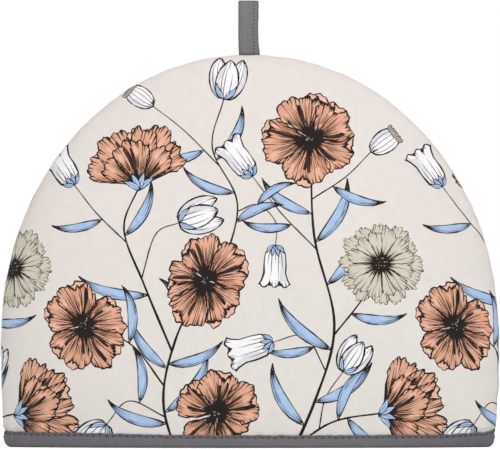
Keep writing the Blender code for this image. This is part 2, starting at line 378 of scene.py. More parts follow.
def in_frame(px, py, x, y, frame):
    """Points round (x, y), squashed across a tilted axis."""
    squash, turn = frame
    c, s = math.cos(turn), math.sin(turn)
    a, b = px * c + py * s, (-px * s + py * c) * squash
    return np.stack([x + a * c - b * s, y + a * s + b * c], -1)


def through(points, n):
    """n points on a smooth curve through the given ones."""
    p = np.asarray(points, float)
    p = np.concatenate([[2 * p[0] - p[1]], p, [2 * p[-1] - p[-2]]])
    seg = len(p) - 3
    t = np.linspace(0, seg - 1e-9, n)
    i = t.astype(int)
    f = (t - i)[:, None]
    a, b, c, d = p[i], p[i + 1], p[i + 2], p[i + 3]
    return 0.5 * (2 * b + (c - a) * f + (2 * a - 5 * b + 4 * c - d) * f ** 2
                  + (3 * b - a - 3 * c + d) * f ** 3)


def wave(rng, lobes):
    """A smooth uneven ripple, roughly from -1 to 1, over 0 to 1."""
    parts = [(k * rng.uniform(0.85, 1.15), rng.uniform(0, 6.28), w)
             for k, w in ((lobes, 0.62), (lobes * 2.1, 0.30), (lobes * 0.5, 0.4))]
    return lambda s: sum(w * np.sin(6.283 * k * s + ph) for k, ph, w in parts)


class Fan:
    """A petal whose veins spread from its base to a ruffled rim.

    at(k, v) is the point at k from base (0) to rim (1), and at v across it,
    from -1 on one side to 1 on the other.
    """

    def __init__(self, rng, x, y, angle, length, spread, claw=0.5, bend=0.0,
                 ripple=0.06, lobes=3.0, shoulder=0.22, notch=0.03, frame=(1, 0)):
        self.x, self.y, self.angle, self.length = x, y, angle, length
        self.spread, self.claw, self.bend = spread, claw, bend
        self.ripple, self.shoulder, self.frame = ripple, shoulder, frame
        self.big = wave(rng, lobes / 2)
        self.small = wave(rng, lobes * 1.7)
        self.side = (wave(rng, 1.6), wave(rng, 1.6))
        self.notch = notch

    def rim_at(self, v):
        edge = self.length * (1 - 0.08 * v ** 2 - self.shoulder * np.abs(v) ** 5)
        f = (v + 1) / 2
        small = self.small(f)
        return edge * (1 + self.ripple * self.big(f) + self.notch
                       * np.sign(small) * np.abs(small) ** 0.7)

    def at(self, k, v):
        k, v = np.broadcast_arrays(np.asarray(k, float), np.asarray(v, float))
        r = k * self.rim_at(v)
        full = np.clip(k * 1.7, 0, 1)
        half = self.spread * (self.claw + (1 - self.claw)
                              * full * full * (3 - 2 * full))
        sway = np.where(v < 0, self.side[0](k), self.side[1](k))
        w = v * (1 + 0.10 * sway * np.abs(v) ** 3 * k)
        a = self.angle + w * half + self.bend * k ** 2
        return in_frame(r * np.cos(a), r * np.sin(a), self.x, self.y, self.frame)

    def outline(self, sides=11, front=46):
        k = np.linspace(0.02, 1, sides)[:-1]
        v = np.sin(np.linspace(-1, 1, front) * np.pi / 2)
        return np.concatenate([self.at(k, -1.0), self.at(1.0, v),
                               self.at(k[::-1], 1.0)])


def petal(art, fan, colours, pitch=2.5, pen=0.70, creases=2, flaps=1, dark=1.0,
          rim_pen=0.88, shade=0.4):
    """A ruffled petal with inked veins, creases and folded edges."""
    rng = art.rng
    plain, light, deep = colours
    size = fan.length
    rim = fan.outline()
    art.fill(rim, plain)
    # deeper colour by the base and along one side
    v = np.linspace(-0.92, 0.92, 15)
    top = np.array([rng.uniform(0.30, 0.52) if i % 2 else rng.uniform(0.2, 0.3)
                    for i in range(15)])
    art.fill(np.concatenate([fan.at(0.03, np.array([-0.8, 0.8])),
                             fan.at(top, v)[::-1]]), deep)
    side = rng.choice([-1, 1])
    if shade:
        k = np.linspace(0.15, 0.93, 9)
        inner = 1 - shade * np.array([rng.uniform(0.5, 1.1) for _ in k]) \
            * np.sin(k * 3.0) ** 0.6
        art.fill(np.concatenate([fan.at(k, side * inner),
                                 fan.at(k[::-1], side * 0.985)]), deep)
    # lighter patches near the rim
    for c in (rng.uniform(-0.7, -0.2), rng.uniform(0.1, 0.7)):
        a = np.linspace(0, 6.283, 11)[:-1]
        art.fill(fan.at(0.78 + 0.11 * np.sin(a),
                        c + rng.uniform(0.10, 0.17) * np.cos(a)), light)
    across = 2 * fan.spread * size
    count = max(5, int(across / pitch))
    # creases: bundles of long strokes that part towards the rim
    for _ in range(creases):
        c = rng.uniform(-0.72, 0.72)
        reach = rng.uniform(0.62, 0.93)
        lean = rng.uniform(-0.10, 0.10)
        k = np.linspace(0.06, reach, 9)
        wide = 0.085 * np.sin(np.linspace(0.5, 2.6, 9)) * (1 + 0.4 * k)
        mid = c + lean * k + 0.03 * np.sin(k * rng.uniform(6, 10))
        art.fill(np.concatenate([fan.at(k, mid - wide),
                                 fan.at(k[::-1], (mid + wide)[::-1])]),
                 rng.choice([INK, INK_SOFT]))
        for s in (-0.9, -0.45, 0.0, 0.45, 0.9):
            kk = np.linspace(0.05, reach * rng.uniform(0.82, 1.05), 8)
            m = c + lean * kk + 0.03 * np.sin(kk * 8)
            art.ink(fan.at(kk, m + s * (0.03 + 0.075 * kk)),
                    pen * rng.uniform(0.9, 1.3), 0.9, 0.15)
    # veins from the base
    for i in range(count):
        v0 = -0.95 + 1.9 * (i + 0.5) / count + rng.uniform(-0.02, 0.02)
        far = rng.uniform(0.60, 0.92) if i % 3 == 0 else rng.uniform(0.30, 0.58)
        k = np.linspace(0.03, far, 7)
        sway = v0 * (1 + 0.04 * np.sin(k * rng.uniform(4, 8)
                                       + rng.uniform(0, 6)))
        art.ink(fan.at(k, sway), pen * dark * rng.uniform(0.8, 1.25),
                1.0, 0.12)
    # finer brown lines between the veins
    if colours is TERRAS:
        own = random.Random(round(1000 * size))
        for i in range(count + 1):
            v0 = -0.93 + 1.86 * i / count + own.uniform(-0.03, 0.03)
            k = np.linspace(own.uniform(0.32, 0.46), own.uniform(0.60, 0.90),
                            5)
            art.ink(fan.at(k, v0 * (1 + 0.03 * np.sin(6 * k))),
                    pen * own.uniform(0.6, 0.85), 0.8, 0.3, INK_SOFT)
    # blunt strokes in from the rim
    count = max(6, int(across / (pitch * 1.25)))
    for i in range(count):
        v0 = -0.97 + 1.94 * (i + rng.uniform(0.1, 0.9)) / count
        long = rng.uniform(0.08, 0.16) if rng.random() < 0.6 \
            else rng.uniform(0.18, 0.34)
        k = np.linspace(0.995, 1 - long, 5)
        art.nail(fan.at(k, v0 * np.linspace(1, 0.98, 5)),
                 pen * dark * rng.uniform(1.0, 1.9))
    # strokes in from the sides
    for s in (-1, 1):
        for i in range(4):
            k0 = rng.uniform(0.42, 0.92)
            k = k0 + np.linspace(0, 0.10, 4)
            art.nail(fan.at(np.minimum(k - 0.06, 0.99),
                            s * np.linspace(0.99, 0.84, 4)), pen * 1.3)
    # flaps: the rim turned over, with a hatched shadow below it
    for _ in range(flaps):
        c = rng.uniform(-0.62, 0.62)
        w = rng.uniform(0.18, 0.32)
        v = np.linspace(c - w, c + w, 11)
        lift_k = np.sin(np.linspace(0, np.pi, 11))
        low = 1 - rng.uniform(0.11, 0.17) * lift_k ** 0.8 \
            * (1 + 0.2 * np.sin(np.arange(11) * 2.1))
        art.fill(np.concatenate([fan.at(np.full(11, 1.0), v),
                                 fan.at(low, v)[::-1]]), light)
        hatch = max(5, int(2 * w * across / 2 / 0.95))
        for i in range(hatch):
            f = (i + 0.5) / hatch
            v0 = c - w + 2 * w * f
            k0 = float(np.interp(f, np.linspace(0, 1, 11), low))
            long = rng.uniform(0.05, 0.17) * math.sin(math.pi * f) ** 0.5
            k = np.linspace(k0, k0 - long, 4)
            art.nail(fan.at(k, np.full(4, v0)), pen * rng.uniform(1.2, 1.8))
        art.contour(fan.at(low, v), rim_pen * 1.15)
    art.contour(rim, rim_pen)


TERRAS = (TERRA, TERRA_LIGHT, TERRA_DEEP)
CREAMS = (CREAM, CREAM, CREAM_DEEP)
WHITES = (WHITE, WHITE, WHITE_SHADE)


def heart(art, x, y, r, reach, count, frame, cream=8):
    """The inked middle of an open bloom."""
    rng = art.rng
    for i in range(count):
        a = 6.283 * (i + rng.uniform(-0.4, 0.4)) / count
        far = r + (reach - r) * rng.random() ** 1.6
        k = np.linspace(r * 0.4, far, 4)
        b = a + rng.uniform(-0.08, 0.08) * (k / reach)
        art.nail(in_frame(k * np.cos(b), k * np.sin(b), x, y, frame),
                 rng.uniform(0.9, 1.5))
    art.blot(x, y, r, 0.3, 24, frame)
    for i in range(cream):
        a, d = rng.uniform(0, 6.283), r * 0.9 * rng.random() ** 0.5
        p = in_frame(np.array([d * math.cos(a)]), np.array([d * math.sin(a)]),
                     x, y, frame)[0]
        art.dot(p[0], p[1], rng.uniform(0.22, 0.42), CREAM_DEEP, 6,
                turn=rng.uniform(0, 3))


def stamens(art, x, y, r0, r1, count, frame):
    rng = art.rng
    for i in range(count):
        a = 6.283 * (i + rng.uniform(-0.3, 0.3)) / count
        far = rng.uniform((r0 + r1) / 2, r1)
        k = np.linspace(r0, far, 4)
        b = a + 0.2 * rng.uniform(-1, 1) * (k / r1)
        line = in_frame(k * np.cos(b), k * np.sin(b), x, y, frame)
        art.ink(line, 0.4, 1.0, 0.7)
        art.dot(line[-1, 0], line[-1, 1], rng.uniform(0.5, 0.8), sides=7, turn=a)


def poppy(art, x, y, r, turn=0.0, squash=1.0, petals=5):
    """Open bloom: broad overlapping petals round a dark middle."""
    rng = art.rng
    frame = (squash, turn)
    start = rng.uniform(0, 6.28)
    order = list(range(0, petals, 2)) + list(range(1, petals, 2))
    for k in order:
        a = start + 6.283 * k / petals + rng.uniform(-0.14, 0.14)
        long = r * rng.uniform(0.90, 1.10)
        fan = Fan(rng, x, y, a, long, 3.55 / petals * rng.uniform(0.9, 1.08),
                  claw=0.62, bend=rng.uniform(-0.12, 0.12),
                  ripple=rng.uniform(0.045, 0.075), lobes=rng.uniform(3.2, 4.6),
                  shoulder=rng.uniform(0.14, 0.24), notch=0.030, frame=frame)
        petal(art, fan, TERRAS, creases=rng.choice([1, 2, 2]),
              flaps=rng.choice([1, 1, 2]))
    heart(art, x, y, r * 0.10, r * 0.33, 42, frame)
    stamens(art, x, y, r * 0.12, r * 0.27, 15, frame)


def cup(art, x, y, r, turn, spread=1.0):
    """Bloom seen from the side, opening along turn."""
    rng = art.rng
    rows = (
        # angle, length, half angle, claw
        (-0.80, 1.50, 0.34, 0.55),
        (0.82, 1.52, 0.34, 0.55),
        (-0.36, 1.72, 0.36, 0.5),
        (0.38, 1.70, 0.38, 0.5),
        (0.0, 1.62, 0.36, 0.55),
        (-0.62, 1.16, 0.42, 0.7),
        (0.60, 1.20, 0.42, 0.7),
        (0.02, 1.28, 0.50, 0.7),
    )
    for a, long, half, claw in rows:
        a = turn + a * spread + rng.uniform(-0.05, 0.05)
        fan = Fan(rng, x, y, a, r * long * rng.uniform(0.96, 1.04), half,
                  claw=claw, bend=0.10 * (1 if a > turn else -1),
                  ripple=0.055, lobes=rng.uniform(2.8, 3.8), shoulder=0.2,
                  notch=0.03)
        petal(art, fan, TERRAS, creases=rng.choice([1, 2]),
              flaps=rng.choice([0, 1]), pitch=2.1)
    c, s = math.cos(turn), math.sin(turn)
    art.blot(x + 1.0 * c, y + 1.0 * s, r * 0.10, 0.2)
    for k in (-0.9, -0.35, 0.3, 0.85):
        leaf(art, x - 1.2 * c, y - 1.2 * s, turn + k, r * 0.50, r * 0.15,
             bend=k * 0.7, small=True)


def cosmos(art, x, y, r, turn=0.0, squash=1.0):
    """Pale many-petalled bloom with lined petals."""
    rng = art.rng
    frame = (squash, turn)
    count = 12
    for ring, k_len in ((0, 1.0), (1, 0.84)):
        for k in range(count):
            a = 6.283 * (k + 0.5 * ring) / count + rng.uniform(-0.05, 0.05)
            fan = Fan(rng, x, y, a, r * k_len * rng.uniform(0.93, 1.05), 0.29,
                      claw=0.75, ripple=0.03, lobes=2.6, shoulder=0.14,
                      notch=0.035, frame=frame)
            petal(art, fan, CREAMS, pitch=1.9, pen=0.42, creases=0, flaps=0,
                  rim_pen=0.34, shade=0.25)
    heart(art, x, y, r * 0.17, r * 0.52, 80, frame, cream=12)


def leaf(art, x, y, angle, length, width, bend=0.4, side=1, small=False):
    """Slim leaf, drawn with strokes that run along it into a dark tip."""
    rng = art.rng
    n = 33
    t = np.linspace(0, 1, n)
    turn = angle + bend * (t ** 1.3 - 0.25) + 0.35 * bend * np.maximum(
        0, t - 0.75)
    step = length / (n - 1)
    sx = x + np.concatenate([[0], np.cumsum(np.cos(turn[:-1]) * step)])
    sy = y + np.concatenate([[0], np.cumsum(np.sin(turn[:-1]) * step)])
    peak = 0.42

    def at(k, u):
        k, u = np.broadcast_arrays(np.asarray(k, float), np.asarray(u, float))
        w = width / 2 * (np.clip(k, 0, 1) ** 0.85
                         * np.clip(1 - k, 0, 1) ** 1.15) \
            / (peak ** 0.85 * (1 - peak) ** 1.15)
        h = np.interp(k, t, turn)
        return np.stack([np.interp(k, t, sx) - np.sin(h) * w * u,
                         np.interp(k, t, sy) + np.cos(h) * w * u], -1)

    k = np.sin(np.linspace(0, 1, 15) * np.pi / 2)
    edge = np.concatenate([at(k, -1.0), at(k[::-1][1:], 1.0)])
    art.fill(edge, BLUE)
    if small:
        art.ink(at(np.linspace(0.05, 0.8, 6), 0.1 * side), 0.3, 0.9, 0.2)
        art.contour(edge, 0.62)
        return
    k = np.linspace(0.06, 0.96, 9)
    ragged = np.array([rng.uniform(0.15, 0.5) for _ in k])
    art.fill(np.concatenate([at(k, side * ragged), at(k[::-1], side * 0.98)]),
             BLUE_DEEP)
    # dark tip and base, with strokes that run out of them
    tip = rng.uniform(0.82, 0.90)
    art.fill(np.concatenate([at(np.linspace(tip + 0.02, 1, 4), -0.9),
                             at(np.linspace(1, tip - 0.02, 4), 0.9),
                             at([tip + 0.06], 0.0)]), INK)
    strokes = max(3, int(width / 1.5))
    for i in range(strokes):
        u = -0.8 + 1.6 * (i + 0.5) / strokes + rng.uniform(-0.08, 0.08)
        near = u * side > 0
        reach = rng.uniform(0.24, 0.5) if near else rng.uniform(0.10, 0.26)
        art.nail(at(np.linspace(tip + 0.05, tip - reach, 6), u * 0.95),
                 rng.uniform(0.4, 0.7))
        reach = rng.uniform(0.16, 0.36) if near else rng.uniform(0.08, 0.2)
        art.nail(at(np.linspace(0.05, 0.05 + reach, 5), u),
                 rng.uniform(0.4, 0.65))
    for _ in range(3):
        k0 = rng.uniform(0.25, 0.6)
        u = side * rng.uniform(0.35, 0.85)
        art.ink(at(np.linspace(k0, k0 + rng.uniform(0.08, 0.2), 4), u),
                0.32, 0.4, 0.2)
    art.contour(edge, 0.72)


def bell(art, x, y, angle, length, leaves=True):
    """Nodding bell-shaped flower; its mouth opens along angle."""
    rng = art.rng
    c, s = math.cos(angle), math.sin(angle)
    wide = length * 0.29

    def at(t, u):
        t, u = np.broadcast_arrays(np.asarray(t, float), np.asarray(u, float))
        w = wide * np.interp(t, [0, .06, .2, .45, .7, .88, 1.0],
                             [.10, .50, .86, .96, .94, 1.12, 1.38])
        a, b = t * length, w * u
        return np.stack([x + a * c - b * s, y + a * s + b * c], -1)

    up = np.linspace(0, 1, 11)
    u = np.linspace(-1, 1, 31)
    mouth = 0.93 + 0.13 * np.abs(np.cos(u * 1.5 * np.pi)) ** 0.8
    # the far side of the mouth shows as a dark crescent
    art.fill(np.concatenate([at(0.93, u), at(1.03 - 0.03 * u ** 2, u[::-1])]),
             INK_SOFT)
    rim = np.concatenate([at(up, -1.0), at(mouth, u)[1:-1], at(up[::-1], 1.0)])
    art.fill(rim, WHITE)
    k = np.linspace(0.06, 0.92, 8)
    ragged = np.array([rng.uniform(0.3, 0.6) for _ in k])
    art.fill(np.concatenate([at(k, ragged), at(k[::-1], 0.95)]), WHITE_SHADE)
    for v, far in ((-0.34, 0.80), (0.33, 0.84), (-0.7, 0.5), (0.04, 0.45),
                   (0.7, 0.62)):
        k = np.linspace(0.03, far, 7)
        art.ink(at(k, v * (0.85 + 0.2 * k)), 0.52, 0.9, 0.15)
    for i in range(13):
        v = rng.uniform(-0.95, 0.95)
        k0 = 0.93 + 0.13 * abs(math.cos(v * 1.5 * math.pi)) ** 0.8
        art.nail(at(np.linspace(k0 - 0.01, k0 - rng.uniform(0.07, 0.18), 4), v),
                 rng.uniform(0.35, 0.6))
    for i in range(9):
        v = rng.uniform(-0.9, 0.9)
        art.nail(at(np.linspace(0.04, rng.uniform(0.12, 0.26), 4), v),
                 rng.uniform(0.35, 0.6))
    for i in range(10):
        p = at(rng.uniform(0.3, 0.85), rng.uniform(0.2, 0.9))
        art.dot(p[0], p[1], 0.16, INK, 5)
    art.contour(np.concatenate([rim, rim[:1]]), 0.98)
    if leaves:
        for k in (-1.0, -0.35, 0.35, 1.0):
            leaf(art, x, y, angle + k, length * 0.30, length * 0.10,
                 bend=-k * 0.9, small=True)


class Blade:
    """A plain petal: a bent spine with a width on each side of it."""

    def __init__(self, x, y, angle, length, width, bend, root, tip):
        n = 31
        self.t = np.linspace(0, 1, n)
        self.turn = angle + bend * (self.t - 0.35)
        step = length / (n - 1)
        self.sx = x + np.concatenate([[0], np.cumsum(np.cos(self.turn[:-1]))]) * step
        self.sy = y + np.concatenate([[0], np.cumsum(np.sin(self.turn[:-1]))]) * step
        self.half, self.root, self.tip = width / 2, root, tip
        peak = root / (root + tip)
        self.norm = peak ** root * (1 - peak) ** tip

    def at(self, t, u):
        t, u = np.broadcast_arrays(np.asarray(t, float), np.asarray(u, float))
        k = np.clip(t, 0, 1)
        w = self.half * k ** self.root * (1 - k) ** self.tip / self.norm * u
        h = np.interp(t, self.t, self.turn)
        return np.stack([np.interp(t, self.t, self.sx) - np.sin(h) * w,
                         np.interp(t, self.t, self.sy) + np.cos(h) * w], -1)

    def edge(self, n):
        t = np.sin(np.linspace(0, 1, n) * np.pi / 2) ** 1.15
        return np.concatenate([self.at(t, -1.0), self.at(t[::-1][1:], 1.0)])


def scale(art, blade, side):
    """One white petal of a bud."""
    rng = art.rng
    edge = blade.edge(17)
    art.fill(edge, WHITE)
    k = np.linspace(0.08, 0.9, 8)
    ragged = np.array([rng.uniform(0.35, 0.65) for _ in k])
    art.fill(np.concatenate([blade.at(k, side * ragged),
                             blade.at(k[::-1], side * 0.96)]), WHITE_SHADE)
    for u in (-0.5, 0.1, 0.55):
        u += rng.uniform(-0.1, 0.1)
        far = rng.uniform(0.6, 0.92)
        art.ink(blade.at(np.linspace(0.05, far, 8), u), 0.55, 0.9, 0.2)
    for i in range(5):
        u = rng.uniform(-0.9, 0.9)
        art.nail(blade.at(np.linspace(0.05, rng.uniform(0.16, 0.34), 4), u),
                 rng.uniform(0.35, 0.6))
        u = rng.uniform(-0.8, 0.8)
        art.nail(blade.at(np.linspace(0.97, rng.uniform(0.72, 0.88), 4), u),
                 rng.uniform(0.35, 0.6))
    for i in range(9):
        p = blade.at(rng.uniform(0.2, 0.7), side * rng.uniform(0.3, 0.9))
        art.dot(p[0], p[1], rng.uniform(0.13, 0.2), INK, 5)
    art.contour(np.concatenate([edge, edge[:1]]), 0.98)


def bud(art, x, y, angle, length):
    """Plump half-open bud of overlapping petals."""
    for a, w, side in ((-0.34, 0.42, -1), (0.34, 0.42, 1), (0.0, 0.50, 1)):
        scale(art, Blade(x, y, angle + a, length * (1.0 if a else 0.9),
                         length * w, -a * 2.0, 0.5, 0.70), side)
    for k in (-0.75, 0.75):
        leaf(art, x, y, angle + k, length * 0.40, length * 0.11, bend=-k,
             small=True)


def pod(art, x, y, angle, length):
    """Seed head: a ribbed egg with a scalloped crown."""
    rng = art.rng
    b = Blade(x, y, angle, length, length * 0.64, 0, 0.5, 0.40)
    edge = b.edge(17)
    c, s = math.cos(angle), math.sin(angle)
    art.fill(edge, WHITE)
    k = np.linspace(0.06, 0.93, 8)
    ragged = np.array([rng.uniform(0.3, 0.6) for _ in k])
    art.fill(np.concatenate([b.at(k, ragged), b.at(k[::-1], 0.96)]),
             WHITE_SHADE)
    for u in (-0.66, -0.25, 0.2, 0.62):
        art.ink(b.at(np.linspace(0.03, 0.94, 8), u), 0.42, 0.9, 0.6)
    for i in range(22):
        p = b.at(rng.uniform(0.15, 0.85), rng.uniform(-0.1, 0.9))
        art.dot(p[0], p[1], rng.uniform(0.14, 0.22), INK, 5)
    for i in range(8):
        u = rng.uniform(-0.9, 0.9)
        art.nail(b.at(np.linspace(0.05, rng.uniform(0.14, 0.26), 4), u), 0.55)
    art.contour(np.concatenate([edge, edge[:1]]), 0.98)
    k = np.linspace(-1, 1, 29)
    r = length * 0.31
    high = length * (0.95 + 0.07 * np.abs(np.sin(k * 4.5 * np.pi / 1.5)))
    low = length * (0.86 - 0.03 * (1 - k ** 2))
    pts = np.stack([x + high * c - k * r * s, y + high * s + k * r * c], 1)
    under = np.stack([x + low * c - k * r * 0.86 * s,
                      y + low * s + k * r * 0.86 * c], 1)[::-1]
    crown = np.concatenate([pts, under])
    art.fill(crown, CREAM_DEEP)
    for i in range(1, 28, 3):
        art.ink(np.linspace(pts[i], under[28 - i], 3), 0.36, 0.9, 0.6)
    art.contour(np.concatenate([crown, crown[:1]]), 0.5)


def stem(art, points, width=1.2):
    line = through(points, 9 * len(points))
    t = np.linspace(0, 1, len(line))
    wander = 1 + 0.10 * np.sin(t * 23 + points[0][0]) + 0.06 * np.sin(t * 51)
    art.ribbon(line, 0.5 * width * (1 - 0.35 * t) * wander)
    return line


def draw_print():
    """One repeat of the cloth. x runs across the cloth and wraps at TILE."""
    art = Art()
    stems = {}

    def on(name, t):
        """Point and heading at t along a stem."""
        line = stems[name]
        s = np.concatenate([[0], np.cumsum(np.hypot(*np.diff(line, axis=0).T))])
        k = t * s[-1]
        x, y = np.interp(k, s, line[:, 0]), np.interp(k, s, line[:, 1])
        x2 = np.interp(min(k + 1, s[-1]), s, line[:, 0])
        y2 = np.interp(min(k + 1, s[-1]), s, line[:, 1])
        x1 = np.interp(max(k - 1, 0), s, line[:, 0])
        y1 = np.interp(max(k - 1, 0), s, line[:, 1])
        return float(x), float(y), math.atan2(y2 - y1, x2 - x1)

    # stems, drawn first so that everything else lies over them: name, what
    # it grows from and where, its other points, width
    for name, parent, at, points, width in (
        ("a", None, 0, ((-38, -30), (-58, 26), (-50, 74), (-30, 112)), 2),
        ("b", None, 0, ((16, -30), (44, 30), (58, 84), (44, 146), (42, 210)),
         2.1),
        ("c", "a", 0.66, ((-72, 112), (-86, 150), (-76, 180)), 1.7),
        ("d", "a", 0.50, ((-80, 70), (-110, 84)), 1.3),
        ("e", "b", 0.46, ((76, 100), (88, 122)), 1.3),
        ("f", "b", 0.70, ((22, 160), (2, 186)), 1),
        ("g", "b", 0.84, ((66, 186), (84, 204)), 1),
        ("h", "b", 0.14, ((58, 18), (92, 24)), 1.6),
        ("i", "c", 0.66, ((-106, 162), (-122, 182)), 1),
        ("j", "c", 0.44, ((-64, 146), (-48, 154)), 1),
        ("k", "b", 0.36, ((38, 76), (16, 72)), 1),
        ("l", "a", 0.36, ((-82, 32), (-98, 16)), 1),
        ("m", None, 0, ((-20, 116), (-8, 166), (-26, 206), (-18, 240)), 1.3),
        ("n", "m", 0.62, ((-46, 218), (-68, 236)), 0.9),
        ("o", "m", 0.36, ((6, 166), (18, 154), (18, 138)), 0.9),
        ("p", "h", 0.30, ((52, 34), (64, 52)), 1),
    ):
        if parent:
            points = (on(parent, at)[:2],) + points
        stems[name] = stem(art, points, width)
    # leaves: stem and place on it, angle off the stem, length, width, bend
    for name, t, off, length, width, bend in (
        ("a", 0.33, 62, 44, 8.5, -0.9),
        ("a", 0.38, -52, 52, 9.0, 1.0),
        ("a", 0.60, -62, 40, 8.0, 0.9),
        ("a", 0.58, 58, 40, 8.0, -0.8),
        ("a", 0.80, 46, 34, 7.0, 0.9),
        ("c", 0.34, 60, 50, 8.5, -0.8),
        ("c", 0.70, -46, 42, 8.0, 0.9),
        ("b", 0.20, 60, 48, 9.0, -0.9),
        ("b", 0.27, -44, 48, 8.5, 0.9),
        ("b", 0.42, 66, 50, 9.0, -0.8),
        ("b", 0.60, -54, 42, 8.0, 0.9),
        ("b", 0.72, -46, 50, 9.0, 0.9),
        ("b", 0.80, 60, 42, 8.0, -0.9),
        ("g", 0.32, -58, 38, 7.5, 0.9),
        ("m", 0.30, -50, 34, 7.5, -0.8),
        ("m", 0.46, 52, 40, 7.5, -0.9),
        ("m", 0.66, -62, 42, 8.0, 0.9),
        ("n", 0.25, 60, 36, 7.5, -0.8),
        ("h", 0.62, -56, 36, 7.5, 0.8),
        ("h", 0.52, 52, 44, 8.0, -1.0),
        ("l", 0.40, -70, 38, 7.5, 0.9),
        ("d", 0.55, -56, 40, 7.5, 0.9),
        ("e", 0.35, -60, 38, 7.5, 0.9),
        ("k", 0.36, 72, 34, 7.0, -0.8),
        ("i", 0.42, 58, 36, 7.0, -0.8),
        ("f", 0.36, 50, 34, 7.0, -0.9),
        ("o", 0.30, 50, 30, 6.5, -0.9),
    ):
        x, y, heading = on(name, t)
        leaf(art, x, y, heading + math.radians(off), 1.04 * length,
             0.86 * width, bend,
             side=1 if off > 0 else -1)
    # small pale flowers: kind, stem, turn at its end, length
    for kind, name, off, length in (
        (bell, "i", -4, 29),
        (bud, "j", -6, 31),
        (bell, "f", 0, 29),
        (pod, "g", -8, 24),
        (bell, "k", 4, 30),
        (bud, "m", 4, 32),
        (pod, "n", 0, 23),
        (bud, "l", 0, 31),
        (bell, "o", 0, 27),
        (bud, "p", 0, 27),
    ):
        x, y, heading = on(name, 1.0)
        kind(art, x, y, heading + math.radians(off), length)
    # large blooms
    cup(art, -76, 178, 26.5, math.radians(98))
    poppy(art, 42, 212, 33, turn=0.4, squash=0.92)
    poppy(art, -30, 114, 32, turn=1.3, squash=0.84)
    cosmos(art, 90, 126, 28, turn=0.2)
    poppy(art, -114, 84, 31, turn=2.3, squash=0.88)
    cup(art, 90, 23, 26.5, math.radians(8))
    poppy(art, -22, 24, 29, turn=0.9, squash=0.88)
    return art.shapes


# --------------------------------------------------------------------------
# Panels: the print is cut into the cloth's own triangles, so that each ink
# line and petal is a run of faces with one colour.
# --------------------------------------------------------------------------
def rgb(r, g, b):
    """A linear colour from the usual 0 to 255 numbers."""
    c = np.array([r, g, b], float) / 255
    return np.where(c <= 0.04045, c / 12.92, ((c + 0.055) / 1.055) ** 2.4)


PALETTE = {
    GROUND: rgb(232, 225, 220),
    TERRA: rgb(226, 170, 143),
    TERRA_LIGHT: rgb(237, 187, 164),
    TERRA_DEEP: rgb(204, 144, 117),
    BLUE: rgb(176, 201, 234),
    BLUE_DEEP: rgb(161, 188, 225),
    CREAM: rgb(215, 208, 191),
    CREAM_DEEP: rgb(190, 182, 164),
    WHITE: rgb(250, 249, 251),
    WHITE_SHADE: rgb(226, 225, 231),
    INK: rgb(38, 30, 29),
    INK_SOFT: rgb(88, 60, 48),
}


def inside(points, polygon):
    """Whether each point is in a polygon, by winding number."""
    a, b = polygon, np.roll(polygon, -1, axis=0)
    px, py = points[:, :1], points[:, 1:2]
    cross = ((b[:, 0] - a[:, 0])[None] * (py - a[:, 1][None])
             - (px - a[:, 0][None]) * (b[:, 1] - a[:, 1])[None])
    up = (a[:, 1][None] <= py) & (b[:, 1][None] > py) & (cross > 0)
    down = (a[:, 1][None] > py) & (b[:, 1][None] <= py) & (cross < 0)
    return up.sum(1) != down.sum(1)


def hem_line(u):
    """Height of the panel's lower edge on the flat cloth."""
    return BOTTOM_GAP + 1.25 * lift(pillow(u, np.full_like(u, 1.0))[0])


def cut_outline(step=1.3):
    """The cut edge of a panel: over the arch, then back along the hem."""
    a = np.linspace(0, 0.1, 2001)
    high = flat_reach(a) * np.sin(a)
    first = float(np.interp(float(hem_line(np.array([183.0]))[0]), high, a))
    count = int(700 / step)
    a = np.linspace(first, math.pi - first, count)
    r = flat_reach(a)
    arch = np.stack([r * np.cos(a), r * np.sin(a)], 1)
    u = np.linspace(arch[-1, 0], arch[0, 0], int(366 / step))[1:-1]
    return arch, np.stack([u, hem_line(u)], 1)


def shown_shapes(shapes, offset):
    """The print's shapes on this panel, without those that others hide."""
    placed = []
    for colour, p in shapes:
        for k in (-2, -1, 0, 1, 2):
            q = p + [offset + k * TILE, 0.0]
            low, high = q.min(0), q.max(0)
            if low[0] > 186 or high[0] < -186 or low[1] > 280 or high[1] < 0:
                continue
            placed.append((colour, q, low, high))
    lows = np.array([s[2] for s in placed])
    highs = np.array([s[3] for s in placed])
    hidden = np.zeros(len(placed), bool)
    # only a full shape can cover another, and not a thin stroke
    area = np.array([abs(np.sum(q[:, 0] * np.roll(q[:, 1], -1)
                                - q[:, 1] * np.roll(q[:, 0], -1))) / 2
                     for _, q, _, _ in placed])
    box = np.prod(highs - lows, axis=1)
    for j in np.flatnonzero((box > 60) & (area > 0.3 * box)):
        under = np.flatnonzero(~hidden[:j] & (lows[:j] >= lows[j]).all(1)
                               & (highs[:j] <= highs[j]).all(1))
        if not len(under):
            continue
        points = np.concatenate([placed[i][1] for i in under])
        start = np.cumsum([0] + [len(placed[i][1]) for i in under])[:-1]
        within = np.logical_and.reduceat(inside(points, placed[j][1]), start)
        hidden[under[within]] = True
    return [(s[0], s[1]) for s, gone in zip(placed, hidden) if not gone]


